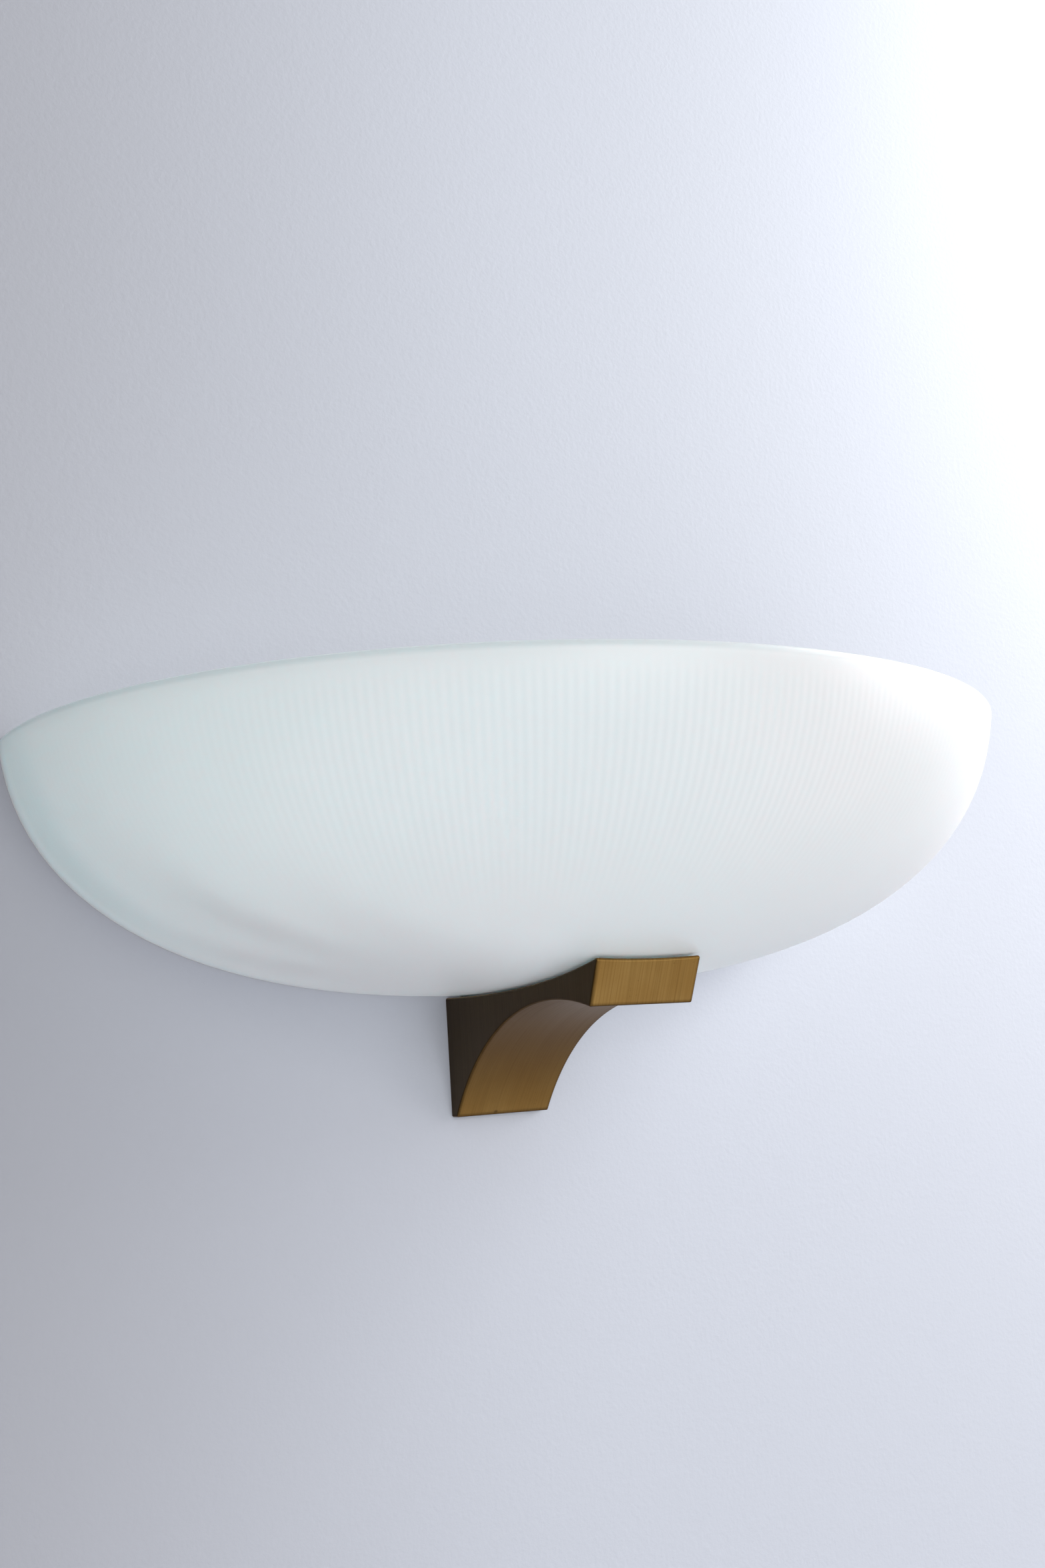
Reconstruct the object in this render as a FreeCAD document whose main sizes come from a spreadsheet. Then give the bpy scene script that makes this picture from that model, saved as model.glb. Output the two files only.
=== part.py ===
import FreeCAD, Part
import math
import os
import re

import Sketcher

# Uplighter wall sconce: a half-round satin glass bowl on a small cast brass arm, with a
# double-ended tube lamp inside it. Millimetres. The origin lies on the wall, on the sconce's
# centre line, halfway between the two wall-screw slots. +Z is up, the room is towards -Y.

Vector = FreeCAD.Vector

SIZES = [
    # glass bowl
    ("bowl_radius", 200.0, "outside radius of the bowl at its rim"),
    ("bowl_height", 98.0, "rim down to the lowest point of the glass"),
    ("bowl_axis_out", 11.3, "bowl axis in front of the wall"),
    ("bowl_rise", 17.75, "centre of the bowl's profile curve above the rim"),
    ("bowl_power", 0.8, "squareness of the profile curve, 1 is an ellipse"),
    ("bowl_flat", 10.0, "radius of the flat spot at the bottom of the bowl"),
    ("glass_wall", 4.5, "thickness of the glass"),
    ("glass_wall_gap", 0.5, "ground back edge of the glass to the wall"),
    ("rim_level", 50.0, "rim above the wall screws"),
    # cast arm
    ("arm_width", 42.8, "width of the arm at its foot"),
    ("arm_draft", 0.0165, "how far each side leans out as it rises, per mm"),
    ("foot_drop", 48.2, "foot of the arm below the bottom of the bowl"),
    ("foot_depth", 4.2, "depth of the foot"),
    ("nose_foot_out", 108.1, "lower edge of the nose in front of the wall"),
    ("nose_drop", 7.9, "lower edge of the nose below the bottom of the bowl"),
    ("nose_lean", 0.417, "how far the nose leans out as it rises, per mm"),
    ("under_radius", 93.0, "radius of the hollow underside of the arm"),
    ("arm_wall", 4.0, "wall of the casting round its pockets"),
    ("arm_web", 12.0, "solid web between the two pockets"),
    ("pocket_depth", 46.0, "depth of the pockets from the wall"),
    ("pocket_drop", 26.0, "floor of the pockets below the bottom of the bowl"),
    ("arm_edge", 0.8, "rounding of the casting's outer edges"),
    ("pad_thick", 0.8, "silicone pad between arm and glass"),
    ("pad_inset", 3.0, "edge of the pad inside the edge of the arm"),
    ("pad_back", 8.0, "back edge of the pad in front of the wall"),
    # glass clamp
    ("clamp_out", 50.0, "clamp stud in front of the wall"),
    ("stud_radius", 3.0, "M6 clamp stud"),
    ("stud_seat", 8.0, "depth of the stud in the arm"),
    ("stud_length", 28.0, "length of the stud"),
    ("glass_hole", 5.5, "radius of the hole in the glass"),
    ("notch_gap", 0.5, "notch in the glass round the tongue"),
    ("sleeve_wall", 2.1, "wall of the sleeve in the glass hole"),
    ("gasket_radius", 12.0, "silicone gasket under the clamp washer"),
    ("gasket_thick", 2.5, "gasket between the glass and the washer"),
    ("washer_radius", 14.0, "clamp washer"),
    ("washer_thick", 1.5, "clamp washer thickness"),
    ("nut_radius", 9.0, "knurled nut over its knurl"),
    ("nut_height", 8.0, "knurled nut height"),
    ("knurl_depth", 0.6, "depth of the knurl"),
    ("knurl_count", 30.0, "teeth round the nut"),
    ("run_gap", 0.05, "running clearance of the moving pieces"),
    # wall plate
    ("plate_thick", 2.5, "steel wall plate"),
    ("plate_side", 10.0, "plate beyond the ends of the wall-screw slots"),
    ("plate_above", 5.0, "plate above the terminal block"),
    ("plate_rise", 14.0, "foot of the plate above the bottom of the bowl"),
    ("tongue_inset", 5.4, "side of the tongue inside the side of the arm"),
    ("tongue_drop", 40.0, "foot of the tongue below the bottom of the bowl"),
    ("slot_pitch", 90.0, "centres of the two wall-screw slots"),
    ("slot_length", 14.0, "slot end to end"),
    ("slot_radius", 2.7, "half the width of a slot"),
    ("fit_gap", 0.1, "gap between seated pieces"),
    ("tap_radius", 2.0, "M4 screw shank"),
    ("head_radius", 3.8, "M4 screw head"),
    ("head_height", 2.4, "M4 screw head height"),
    ("screw_drop_top", 14.0, "upper casting screw below the bottom of the bowl"),
    ("screw_drop_foot", 32.0, "lower casting screw below the bottom of the bowl"),
    ("casting_screw_length", 12.0, "casting screw under its head's top"),
    # cable entry
    ("entry_side", 40.0, "cable grommet to the left of the centre line"),
    ("entry_level", 18.0, "cable grommet above the wall screws"),
    ("entry_radius", 7.0, "hole in the plate for the grommet"),
    ("grommet_bore", 4.5, "bore radius of the grommet"),
    ("grommet_lip", 2.5, "lip of the grommet beyond its hole"),
    ("grommet_lip_thick", 2.0, "thickness of the grommet's lip"),
    # lamp carrier
    ("lamp_out", 78.0, "lamp axis in front of the wall"),
    ("lamp_level", 27.0, "lamp axis above the wall screws"),
    ("lamp_drop", 20.0, "lamp axis above the top of the holder strip"),
    ("strip_thick", 1.2, "holder strip"),
    ("strip_width", 16.0, "holder strip, wall to room"),
    ("ear_hole_gap", 0.1, "strip's ear round the boss of a lamp holder"),
    ("ear_top", 10.0, "top of the ear above the lamp axis"),
    ("carrier_thick", 2.0, "bent steel carrier"),
    ("lead_clear", 0.9, "leads beside the carrier"),
    ("carrier_reach", 10.0, "carrier beyond the lamp axis"),
    ("carrier_foot", 26.0, "foot of the carrier's flange below the wall screws"),
    ("flange_screw_top", 8.0, "upper flange screw below the wall screws"),
    ("flange_screw_foot", 20.0, "lower flange screw below the wall screws"),
    ("tray_screw_pitch", 10.0, "centres of the two reflector screws"),
    # reflector
    ("tray_thick", 0.8, "reflector sheet"),
    ("tray_gap", 2.5, "end of the reflector to the lamp holder"),
    ("tray_floor", 30.0, "flat floor of the reflector"),
    ("tray_mouth", 72.0, "reflector across its mouth"),
    ("tray_rise", 31.0, "mouth of the reflector above its floor"),
    # lamp holders and contacts
    ("holder_length", 21.0, "lamp holder along the lamp, up to the ear"),
    ("holder_width", 16.0, "lamp holder, wall to room"),
    ("holder_below", 10.0, "lamp holder below the lamp axis"),
    ("holder_above", 8.0, "lamp holder above the lamp axis"),
    ("cradle_gap", 0.4, "cradle round the lamp's cap"),
    ("cradle_length", 11.3, "length of the cradle"),
    ("lamp_room", 2.0, "room in a cradle beyond the lamp's end"),
    ("nose_wall", 2.6, "holder wall that guides the contact"),
    ("boss_wall", 1.1, "wall of the holder's boss round its chamber"),
    ("boss_length", 3.0, "boss of the holder beyond the ear's inner face"),
    ("chamber_radius", 3.4, "spring chamber in the holder"),
    ("contact_radius", 1.6, "nose of the sprung contact"),
    ("contact_face", 57.1, "contact face of the lamp from the centre"),
    ("flange_gap", 1.0, "contact flange behind its stop, lamp in place"),
    ("flange_thick", 1.0, "flange of the contact"),
    ("spring_wire", 0.5, "wire of the contact spring"),
    ("spring_turns", 5.0, "turns of the contact spring"),
    ("spring_radius", 2.5, "mean radius of the contact spring"),
    ("cap_plate", 1.0, "end plate behind the spring"),
    ("tail_length", 2.5, "tail of the contact inside its spring, with the flange"),
    ("rivet_radius", 1.3, "rivet of a lamp holder"),
    ("rivet_head", 2.3, "radius of the rivet's head"),
    ("rivet_rise", 1.0, "height of the rivet's head"),
    # lamp
    ("tube_radius", 5.5, "quartz tube"),
    ("tube_wall", 1.0, "wall of the quartz tube"),
    ("seal_length", 18.1, "end of the round tube to the contact face"),
    ("neck_length", 4.0, "length of the tube's tapered end"),
    ("pinch_width", 6.0, "flat pinch seal across"),
    ("pinch_thick", 2.4, "flat pinch seal thickness"),
    ("end_radius", 4.0, "ceramic cap of the lamp"),
    ("end_length", 11.0, "ceramic cap of the lamp"),
    ("end_recess", 1.7, "contact face inside the end of the cap"),
    ("end_recess_radius", 2.2, "recess in the end of the cap"),
    ("coil_radius", 0.9, "filament coil"),
    ("coil_gap", 6.0, "end of the coil to the end of the round tube"),
    ("support_wire", 0.4, "wire of the filament's supports"),
    ("support_pitch", 26.0, "spacing of the filament's supports"),
    # terminal block
    ("block_height", 17.0, "terminal block, up"),
    ("block_depth", 14.0, "terminal block, wall to room"),
    ("block_rise", 6.2, "terminal block above the carrier"),
    ("pole_pitch", 12.0, "spacing of the three poles"),
    ("pole_radius", 2.6, "brass sleeve of a pole"),
    ("pole_bore", 1.5, "wire bore of a sleeve"),
    ("well_radius", 2.4, "screw well of a pole"),
    ("clamp_screw_radius", 1.3, "shank of a terminal screw"),
    ("clamp_screw_pitch", 9.0, "spacing of the two screws of a pole"),
    ("clamp_head", 1.8, "height of a terminal screw's head"),
    ("clamp_head_gap", 0.2, "terminal screw's head above its sleeve"),
    ("sleeve_inset", 1.0, "end of a sleeve inside the block"),
    # leads
    ("lead_radius", 1.1, "sleeved lead"),
    ("lead_bend", 5.0, "bend of a lead on its centre line"),
    ("lead_reach", 6.5, "leads turn up beyond the end plates"),
    ("clip_length", 6.0, "lead clip along the lead"),
    ("clip_wall", 1.2, "wall of a lead clip"),
    ("clip_side", 42.0, "strip clips from the centre"),
    ("clip_out", 40.0, "carrier clips in front of the wall"),
    # earth
    ("tag_thick", 0.8, "ring tag"),
    ("tag_radius", 4.5, "ring tag outside"),
    ("tag_out", 32.0, "earth screw in front of the wall"),
]

# Sizes that follow from the ones above, as formulas of the same sheet.
FOLLOWING = [
    ("foot_level", "bowl_height - rim_level + foot_drop", "foot of the arm, down"),
    ("nose_level", "bowl_height - rim_level + nose_drop", "lower edge of the nose, down"),
    ("pocket_foot", "bowl_height - rim_level + pocket_drop", "floor of the pockets, down"),
    ("gasket_top", "bowl_height - rim_level - glass_wall - gasket_thick", "top of the gasket, down"),
    ("plate_foot", "bowl_height - rim_level - plate_rise", "foot of the plate, down"),
    ("tongue_foot", "bowl_height - rim_level + tongue_drop", "foot of the tongue, down"),
    ("casting_screw_top", "bowl_height - rim_level + screw_drop_top", "upper casting screw, down"),
    ("casting_screw_foot", "bowl_height - rim_level + screw_drop_foot", "lower casting screw, down"),
    ("tongue_width", "arm_width - 2 * tongue_inset", "tongue across"),
    ("plate_width", "slot_pitch + slot_length + 2 * plate_side", "plate across"),
    ("block_width", "pole_pitch * 3", "terminal block across"),
    ("pole_out", "block_depth / 2", "poles in front of the plate"),
    ("block_level", "lamp_level - lamp_drop - strip_thick + block_rise", "foot of the block, up"),
    ("plate_top", "block_level + block_height + plate_above", "top of the plate, up"),
    ("carrier_width", "2 * (pole_pitch - lead_radius - lead_clear)", "carrier across"),
    ("lead_level", "lamp_level - lamp_drop - strip_thick - lead_radius - fit_gap", "leads, up"),
    ("holder_inside", "contact_face + end_recess + lamp_room - cradle_length", "holder's inner face"),
    ("ear_inside", "holder_inside + holder_length", "inner face of the strip's ear"),
    ("lead_end", "ear_inside + boss_length + lead_reach", "leads turn up"),
    ("cradle_radius", "end_radius + cradle_gap", "cradle that the lamp's cap lies in"),
    ("boss_radius", "chamber_radius + boss_wall", "boss of the holder through the ear"),
    ("tray_length", "2 * (holder_inside - tray_gap)", "reflector along the lamp"),
    ("tube_half", "contact_face - seal_length", "half length of the round part of the tube"),
    ("coil_half", "tube_half - coil_gap", "half length of the filament coil"),
]

NAMES = {name for name, _, _ in SIZES + FOLLOWING}

# Places that several pieces share, each worked out from the sizes above.
ROOM_SIDE_OF_PLATE = "-plate_thick"
STRIP_TOP = "(lamp_level - lamp_drop)"
STRIP_FOOT = "(lamp_level - lamp_drop - strip_thick)"
CARRIER_FOOT = "(lamp_level - lamp_drop - strip_thick - carrier_thick)"
NOSE_STOP = "(holder_inside + cradle_length + nose_wall)"
FLANGE_FACE = "(holder_inside + cradle_length + nose_wall + flange_gap)"
BOSS_END = "(ear_inside + boss_length)"
GASKET_TOP = "(-gasket_top)"
ARM_FACE_AT_STUD = "(rim_level - bowl_height)"
TRAY_SCREWS = ("-lamp_out - tray_screw_pitch / 2", "-lamp_out + tray_screw_pitch / 2")
RIVET_LEVEL = "(lamp_level - (boss_radius + holder_below) / 2)"
RIVET_FACE = "(ear_inside + strip_thick)"
POLES = ("-pole_pitch", "0", "pole_pitch")
POLE_OUT = "(-plate_thick - pole_out)"
POLE_SCREWS = (
    "block_level + block_height / 2 - clamp_screw_pitch / 2",
    "block_level + block_height / 2 + clamp_screw_pitch / 2",
)
BLOCK_FACE = "(-plate_thick - block_depth)"
BLOCK_MIDDLE = "(block_level + block_height / 2)"
TAG_BARREL_LEVEL = "(lamp_level - lamp_drop - strip_thick + tag_thick + lead_radius)"
TAG_BARREL_BACK = "(-tag_out + tag_radius + 1)"

doc = FreeCAD.newDocument("wall_sconce")
sheet = doc.addObject("Spreadsheet::Sheet", "dims")
for row, (name, content, note) in enumerate(SIZES + FOLLOWING, start=1):
    sheet.set("A%d" % row, name)
    sheet.set("B%d" % row, "=" + content if isinstance(content, str) else "%g" % content)
    sheet.setAlias("B%d" % row, name)
    sheet.set("C%d" % row, note)
doc.recompute()


def bound(rule):
    """A rule in plain size names, as an expression on the sheet."""
    return re.sub(r"[a-z_]+", lambda w: "dims." + w.group() if w.group() in NAMES else w.group(), rule)


def value(rule):
    """The present number of a rule."""
    return float(sheet.evalExpression(bound(rule)))


# ---------------------------------------------------------------- plain solids and booleans

TURNS = {
    "x": FreeCAD.Rotation(Vector(0, 1, 0), 90),
    "y": FreeCAD.Rotation(Vector(1, 0, 0), -90),
    "z": FreeCAD.Rotation(),
}
ACROSS = {"x": "yz", "y": "xz", "z": "xy"}


def box(name, x, y, z):
    """A box from (low, high) rules along each axis."""
    item = doc.addObject("Part::Box", name)
    for prop, axis, (low, high) in zip(("Length", "Width", "Height"), "xyz", (x, y, z)):
        item.setExpression(prop, bound("(%s) - (%s)" % (high, low)))
        item.setExpression("Placement.Base." + axis, bound(low))
    return item


def rod(name, axis, radius, span, centre):
    """A cylinder along an axis, over a (low, high) span, on a centre line."""
    item = doc.addObject("Part::Cylinder", name)
    item.Placement = FreeCAD.Placement(Vector(), TURNS[axis])
    item.setExpression("Radius", bound(radius))
    item.setExpression("Height", bound("(%s) - (%s)" % (span[1], span[0])))
    item.setExpression("Placement.Base." + axis, bound(span[0]))
    for other, rule in zip(ACROSS[axis], centre):
        item.setExpression("Placement.Base." + other, bound(rule))
    return item


def cone(name, axis, radii, span, centre):
    """A cone along an axis, from the first radius at the low end to the second."""
    item = doc.addObject("Part::Cone", name)
    item.Placement = FreeCAD.Placement(Vector(), TURNS[axis])
    item.setExpression("Radius1", bound(radii[0]))
    item.setExpression("Radius2", bound(radii[1]))
    item.setExpression("Height", bound("(%s) - (%s)" % (span[1], span[0])))
    item.setExpression("Placement.Base." + axis, bound(span[0]))
    for other, rule in zip(ACROSS[axis], centre):
        item.setExpression("Placement.Base." + other, bound(rule))
    return item


def fuse(name, *items):
    item = doc.addObject("Part::MultiFuse", name)
    item.Shapes = list(items)
    item.Refine = True
    return item


def group(name, *items):
    """Separate solids that make one sub-part, such as a pair of screws."""
    item = doc.addObject("Part::Compound", name)
    item.Links = list(items)
    return item


def cut(name, base, *tools):
    item = doc.addObject("Part::Cut", name)
    item.Base = base
    item.Tool = tools[0] if len(tools) == 1 else fuse(name + "_tools", *tools)
    return item


def common(name, *items):
    item = doc.addObject("Part::MultiCommon", name)
    item.Shapes = list(items)
    return item


def mirrored(name, item):
    """The same piece on the other side of the centre line."""
    other = doc.addObject("Part::Mirroring", name)
    other.Source = item
    other.Normal = Vector(1, 0, 0)
    return other


def shaped(name, shape):
    """A shape made from the sizes in code, where no feature has its form."""
    item = doc.addObject("Part::Feature", name)
    item.Shape = shape
    return item


# ---------------------------------------------------------------- sketched bodies


def outline(body, name, plane, corners, arcs=None):
    """A closed sketch through corner rules; arcs maps an edge to its radius rule."""
    sketch = body.newObject("Sketcher::SketchObject", name)
    origin = [f for f in body.Origin.OriginFeatures if f.Role == plane][0]
    sketch.AttachmentSupport = [(origin, "")]
    sketch.MapMode = "FlatFace"
    points = [Vector(value(u), value(v), 0) for u, v in corners]
    count = len(points)
    for i, start in enumerate(points):
        end = points[(i + 1) % count]
        if arcs and i in arcs:
            sketch.addGeometry(bulged_arc(start, end, value(arcs[i])))
        else:
            sketch.addGeometry(Part.LineSegment(start, end))
    # An arc that bulges to the left runs clockwise, so its own start is where the edge ends.
    starts = [2 if arcs and i in arcs else 1 for i in range(count)]
    for i in range(count):
        after = (i + 1) % count
        joined = Sketcher.Constraint("Coincident", i, 3 - starts[i], after, starts[after])
        sketch.addConstraint(joined)
    for i, (u, v) in enumerate(corners):
        for kind, rule in (("DistanceX", u), ("DistanceY", v)):
            placed = Sketcher.Constraint(kind, -1, 1, i, starts[i], value(rule))
            at = sketch.addConstraint(placed)
            sketch.setExpression("Constraints[%d]" % at, bound(rule))
    for i, rule in (arcs or {}).items():
        at = sketch.addConstraint(Sketcher.Constraint("Radius", i, value(rule)))
        sketch.setExpression("Constraints[%d]" % at, bound(rule))
    return sketch


def bulged_arc(start, end, radius):
    """The short arc from start to end that bulges to the left of that line."""
    chord = end - start
    side = Vector(-chord.y, chord.x, 0).normalize()
    half = chord.Length / 2
    rise = radius - math.sqrt(radius * radius - half * half)
    return Part.Arc(start, (start + end) * 0.5 + side * rise, end)


def circle(body, name, plane, radius, centre):
    sketch = body.newObject("Sketcher::SketchObject", name)
    origin = [f for f in body.Origin.OriginFeatures if f.Role == plane][0]
    sketch.AttachmentSupport = [(origin, "")]
    sketch.MapMode = "FlatFace"
    middle = Vector(value(centre[0]), value(centre[1]), 0)
    sketch.addGeometry(Part.Circle(middle, Vector(0, 0, 1), value(radius)))
    for kind, rule in (("DistanceX", centre[0]), ("DistanceY", centre[1])):
        at = sketch.addConstraint(Sketcher.Constraint(kind, -1, 1, 0, 3, value(rule)))
        sketch.setExpression("Constraints[%d]" % at, bound(rule))
    at = sketch.addConstraint(Sketcher.Constraint("Radius", 0, value(radius)))
    sketch.setExpression("Constraints[%d]" % at, bound(radius))
    return sketch


def pad(body, sketch, length, both_ways=False):
    feature = body.newObject("PartDesign::Pad", sketch.Name + "_pad")
    feature.Profile = sketch
    feature.setExpression("Length", bound(length))
    if both_ways:
        feature.SideType = "Symmetric"
    return feature


def body_pad(name, plane, corners, length, both_ways=True, arcs=None):
    body = doc.addObject("PartDesign::Body", name)
    sketch = outline(body, name + "_outline", plane, corners, arcs)
    pad(body, sketch, length, both_ways)
    return body


# ---------------------------------------------------------------- the bowl's curve


def bowl_curve(inset):
    """Points of the bowl's profile from the lip to its flat spot, moved inwards by inset.

    The profile is a quarter of a superellipse whose centre lies above the rim, so that
    the side is still leaning out where it ends. The lip's round starts half a wall below
    the rim. u is the distance from the bowl's axis, w the height above the rim.
    """
    radius, height = value("bowl_radius"), value("bowl_height")
    rise, power = value("bowl_rise"), value("bowl_power")
    rim = math.asin((rise / (height + rise)) ** (1 / power))
    half_width = radius / math.cos(rim) ** power
    lip = value("glass_wall") / 2
    start = math.asin(((rise + lip) / (height + rise)) ** (1 / power))
    finish = math.acos((value("bowl_flat") / half_width) ** (1 / power))
    points = []
    steps = 14
    for step in range(steps + 1):
        turn = start + (finish - start) * step / steps
        u = half_width * math.cos(turn) ** power
        w = rise - (height + rise) * math.sin(turn) ** power
        du = half_width * math.cos(turn) ** (power - 1) * math.sin(turn)
        dw = (height + rise) * math.sin(turn) ** (power - 1) * math.cos(turn)
        slope = math.hypot(du, dw)
        points.append(Vector(u - inset * dw / slope, 0, w + inset * du / slope))
    return points


def smooth(points):
    """A spline through the profile's points, from the rim to the flat spot."""
    curve = Part.BSplineCurve()
    curve.interpolate(points)
    return curve


def about_bowl_axis(edges):
    """A closed profile turned about the bowl's axis, its seam behind the wall."""
    face = Part.Face(Part.Wire(Part.__sortEdges__(edges)))
    solid = face.revolve(Vector(), Vector(0, 0, 1), 360)
    solid.rotate(Vector(), Vector(0, 0, 1), 90)
    solid.translate(Vector(0, -value("bowl_axis_out"), value("rim_level")))
    return solid


def bowl_space(name, inset):
    """Everything that lies inside the bowl's profile moved inwards by inset."""
    points = bowl_curve(value(inset))
    rim, floor = points[0], points[-1]
    headroom = value("bowl_height") / 2
    corners = [floor, Vector(0, 0, floor.z), Vector(0, 0, headroom), Vector(rim.x, 0, headroom), rim]
    edges = [Part.makeLine(a, b) for a, b in zip(corners, corners[1:])]
    return shaped(name, about_bowl_axis([smooth(points).toShape()] + edges))


def bowl_shell():
    """The glass as it comes from the mould: a whole round dish with a fire-polished lip."""
    outer = bowl_curve(0.0)
    inner = bowl_curve(value("glass_wall"))
    out_of_glass = (outer[0] - outer[1]).normalize()
    lip_top = (outer[0] + inner[0]) * 0.5 + out_of_glass * (value("glass_wall") / 2)
    under, over = Vector(0, 0, outer[-1].z), Vector(0, 0, inner[-1].z)
    edges = [
        smooth(outer).toShape(),
        Part.makeLine(outer[-1], under),
        Part.makeLine(under, over),
        Part.makeLine(over, inner[-1]),
        smooth(inner).toShape(),
        Part.Arc(outer[0], lip_top, inner[0]).toShape(),
    ]
    return shaped("bowl_shell", about_bowl_axis(edges))


# ---------------------------------------------------------------- glass and its clamp


def glass_bowl():
    """Half of the round dish, with a clamp hole and a notch round the wall plate."""
    half = box(
        "glass_half",
        ("-bowl_radius * 1.1", "bowl_radius * 1.1"),
        ("-bowl_radius * 1.2 - bowl_axis_out", "-glass_wall_gap"),
        ("rim_level - bowl_height * 1.2", "rim_level + glass_wall"),
    )
    hole = rod(
        "glass_hole_tool", "z", "glass_hole",
        ("rim_level - bowl_height - glass_wall", "rim_level - bowl_height / 2"),
        ("0", "-clamp_out"),
    )
    notch = box(
        "glass_notch",
        ("-tongue_width / 2 - notch_gap", "tongue_width / 2 + notch_gap"),
        ("-plate_thick - notch_gap", "1"),
        ("rim_level - bowl_height * 1.2", "rim_level - bowl_height * 0.7"),
    )
    return cut("glass_bowl", common("glass_half_dish", bowl_shell(), half), hole, notch)


def clamp_stud():
    return rod(
        "clamp_stud", "z", "stud_radius",
        (ARM_FACE_AT_STUD + " - stud_seat", ARM_FACE_AT_STUD + " - stud_seat + stud_length"),
        ("0", "-clamp_out"),
    )


def ring(name, axis, outer, inner, span, centre):
    return cut(
        name,
        rod(name + "_outside", axis, outer, span, centre),
        rod(name + "_bore", axis, inner, span, centre),
    )


def glass_sleeve():
    """Silicone sleeve that keeps the stud off the edge of the glass hole."""
    return ring(
        "glass_sleeve", "z", "stud_radius + fit_gap + sleeve_wall", "stud_radius + fit_gap",
        (ARM_FACE_AT_STUD + " + pad_thick", ARM_FACE_AT_STUD + " + glass_wall"),
        ("0", "-clamp_out"),
    )


def clamp_gasket(inner_space):
    """Silicone ring whose foot follows the inside of the glass."""
    blank = ring(
        "gasket_blank", "z", "gasket_radius", "stud_radius + fit_gap",
        (ARM_FACE_AT_STUD, GASKET_TOP), ("0", "-clamp_out"),
    )
    return common("clamp_gasket", blank, inner_space)


def clamp_washer():
    return ring(
        "clamp_washer", "z", "washer_radius", "stud_radius + fit_gap",
        (GASKET_TOP, GASKET_TOP + " + washer_thick"), ("0", "-clamp_out"),
    )


def clamp_nut():
    """Knurled nut, turned by hand."""
    body = doc.addObject("PartDesign::Body", "clamp_nut")
    blank = circle(body, "nut_outside", "XY_Plane", "nut_radius", ("0", "0"))
    pad(body, blank, "nut_height")
    bore = circle(body, "nut_bore", "XY_Plane", "stud_radius + run_gap", ("0", "0"))
    through(body, bore)
    groove = outline(
        body, "nut_groove", "XY_Plane",
        [
            ("nut_radius + knurl_depth", "-knurl_depth * 1.2"),
            ("nut_radius + knurl_depth", "knurl_depth * 1.2"),
            ("nut_radius - knurl_depth", "0"),
        ],
    )
    pocket = through(body, groove)
    pattern = body.newObject("PartDesign::PolarPattern", "nut_knurl")
    pattern.Originals = [pocket]
    pattern.Axis = (blank, ["N_Axis"])
    pattern.Angle = 360
    pattern.setExpression("Occurrences", bound("knurl_count"))
    body.Tip = pattern
    body.setExpression("Placement.Base.y", bound("-clamp_out"))
    body.setExpression("Placement.Base.z", bound(GASKET_TOP + " + washer_thick + run_gap"))
    return body


def through(body, sketch):
    """A pocket upwards through the whole body."""
    feature = body.newObject("PartDesign::Pocket", sketch.Name + "_pocket")
    feature.Profile = sketch
    feature.Type = "ThroughAll"
    feature.Reversed = True
    return feature


# ---------------------------------------------------------------- cast arm


def under_centre():
    """Centre of the hollow underside's arc, as (y, z)."""
    foot = Vector(-value("foot_depth"), -value("foot_level"), 0)
    nose = Vector(-value("nose_foot_out"), -value("nose_level"), 0)
    chord = nose - foot
    half = chord.Length / 2
    below = math.sqrt(value("under_radius") ** 2 - half * half)
    return (foot + nose) * 0.5 + Vector(chord.y, -chord.x, 0).normalize() * -below


def arm_blank(seat_space):
    """The arm before it is hollowed: side shape, drafted sides, seat that follows the glass."""
    above_seat = "(rim_level - bowl_height / 2)"
    half_top = "(arm_width / 2 + arm_draft * (%s + foot_level))" % above_seat
    side = body_pad(
        "arm_side", "YZ_Plane",
        [
            ("0", "-foot_level"),
            ("0", above_seat),
            ("-nose_foot_out - nose_lean * (%s + nose_level)" % above_seat, above_seat),
            ("-nose_foot_out", "-nose_level"),
            ("-foot_depth", "-foot_level"),
        ],
        "arm_width * 1.5", arcs={3: "under_radius"},
    )
    front = body_pad(
        "arm_front", "XZ_Plane",
        [
            ("-arm_width / 2", "-foot_level"),
            ("arm_width / 2", "-foot_level"),
            (half_top, above_seat),
            ("-" + half_top, above_seat),
        ],
        "nose_foot_out * 1.5", both_ways=False,
    )
    return cut("arm_blank", common("arm_outside", side, front), seat_space)


def rounded_edges(name, item, radius):
    """Rounds every outer edge that doesn't lie on the wall."""
    doc.recompute()
    chosen = []
    for number, edge in enumerate(item.Shape.Edges, start=1):
        ends = [vertex.Point for vertex in edge.Vertexes]
        on_wall = all(abs(point.y) < 0.01 for point in ends)
        on_side = all(abs(point.x) > value("arm_width") * 0.4 for point in ends)
        if on_side and not on_wall:
            chosen.append((number, value(radius), value(radius)))
    item_round = doc.addObject("Part::Fillet", name)
    item_round.Base = item
    item_round.Edges = chosen
    return item_round


def arm_pocket(side, roof_space, floor_rod):
    """One of the two hollows beside the web, open towards the wall."""
    low, high = "arm_web / 2", "arm_width / 2 - arm_wall"
    across = (low, high) if side > 0 else ("-(%s)" % high, "-(%s)" % low)
    block = box(
        "pocket_block", across, ("-pocket_depth", "1"),
        ("-pocket_foot", "rim_level - bowl_height * 0.9"),
    )
    return cut("pocket", block, roof_space, floor_rod)


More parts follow.
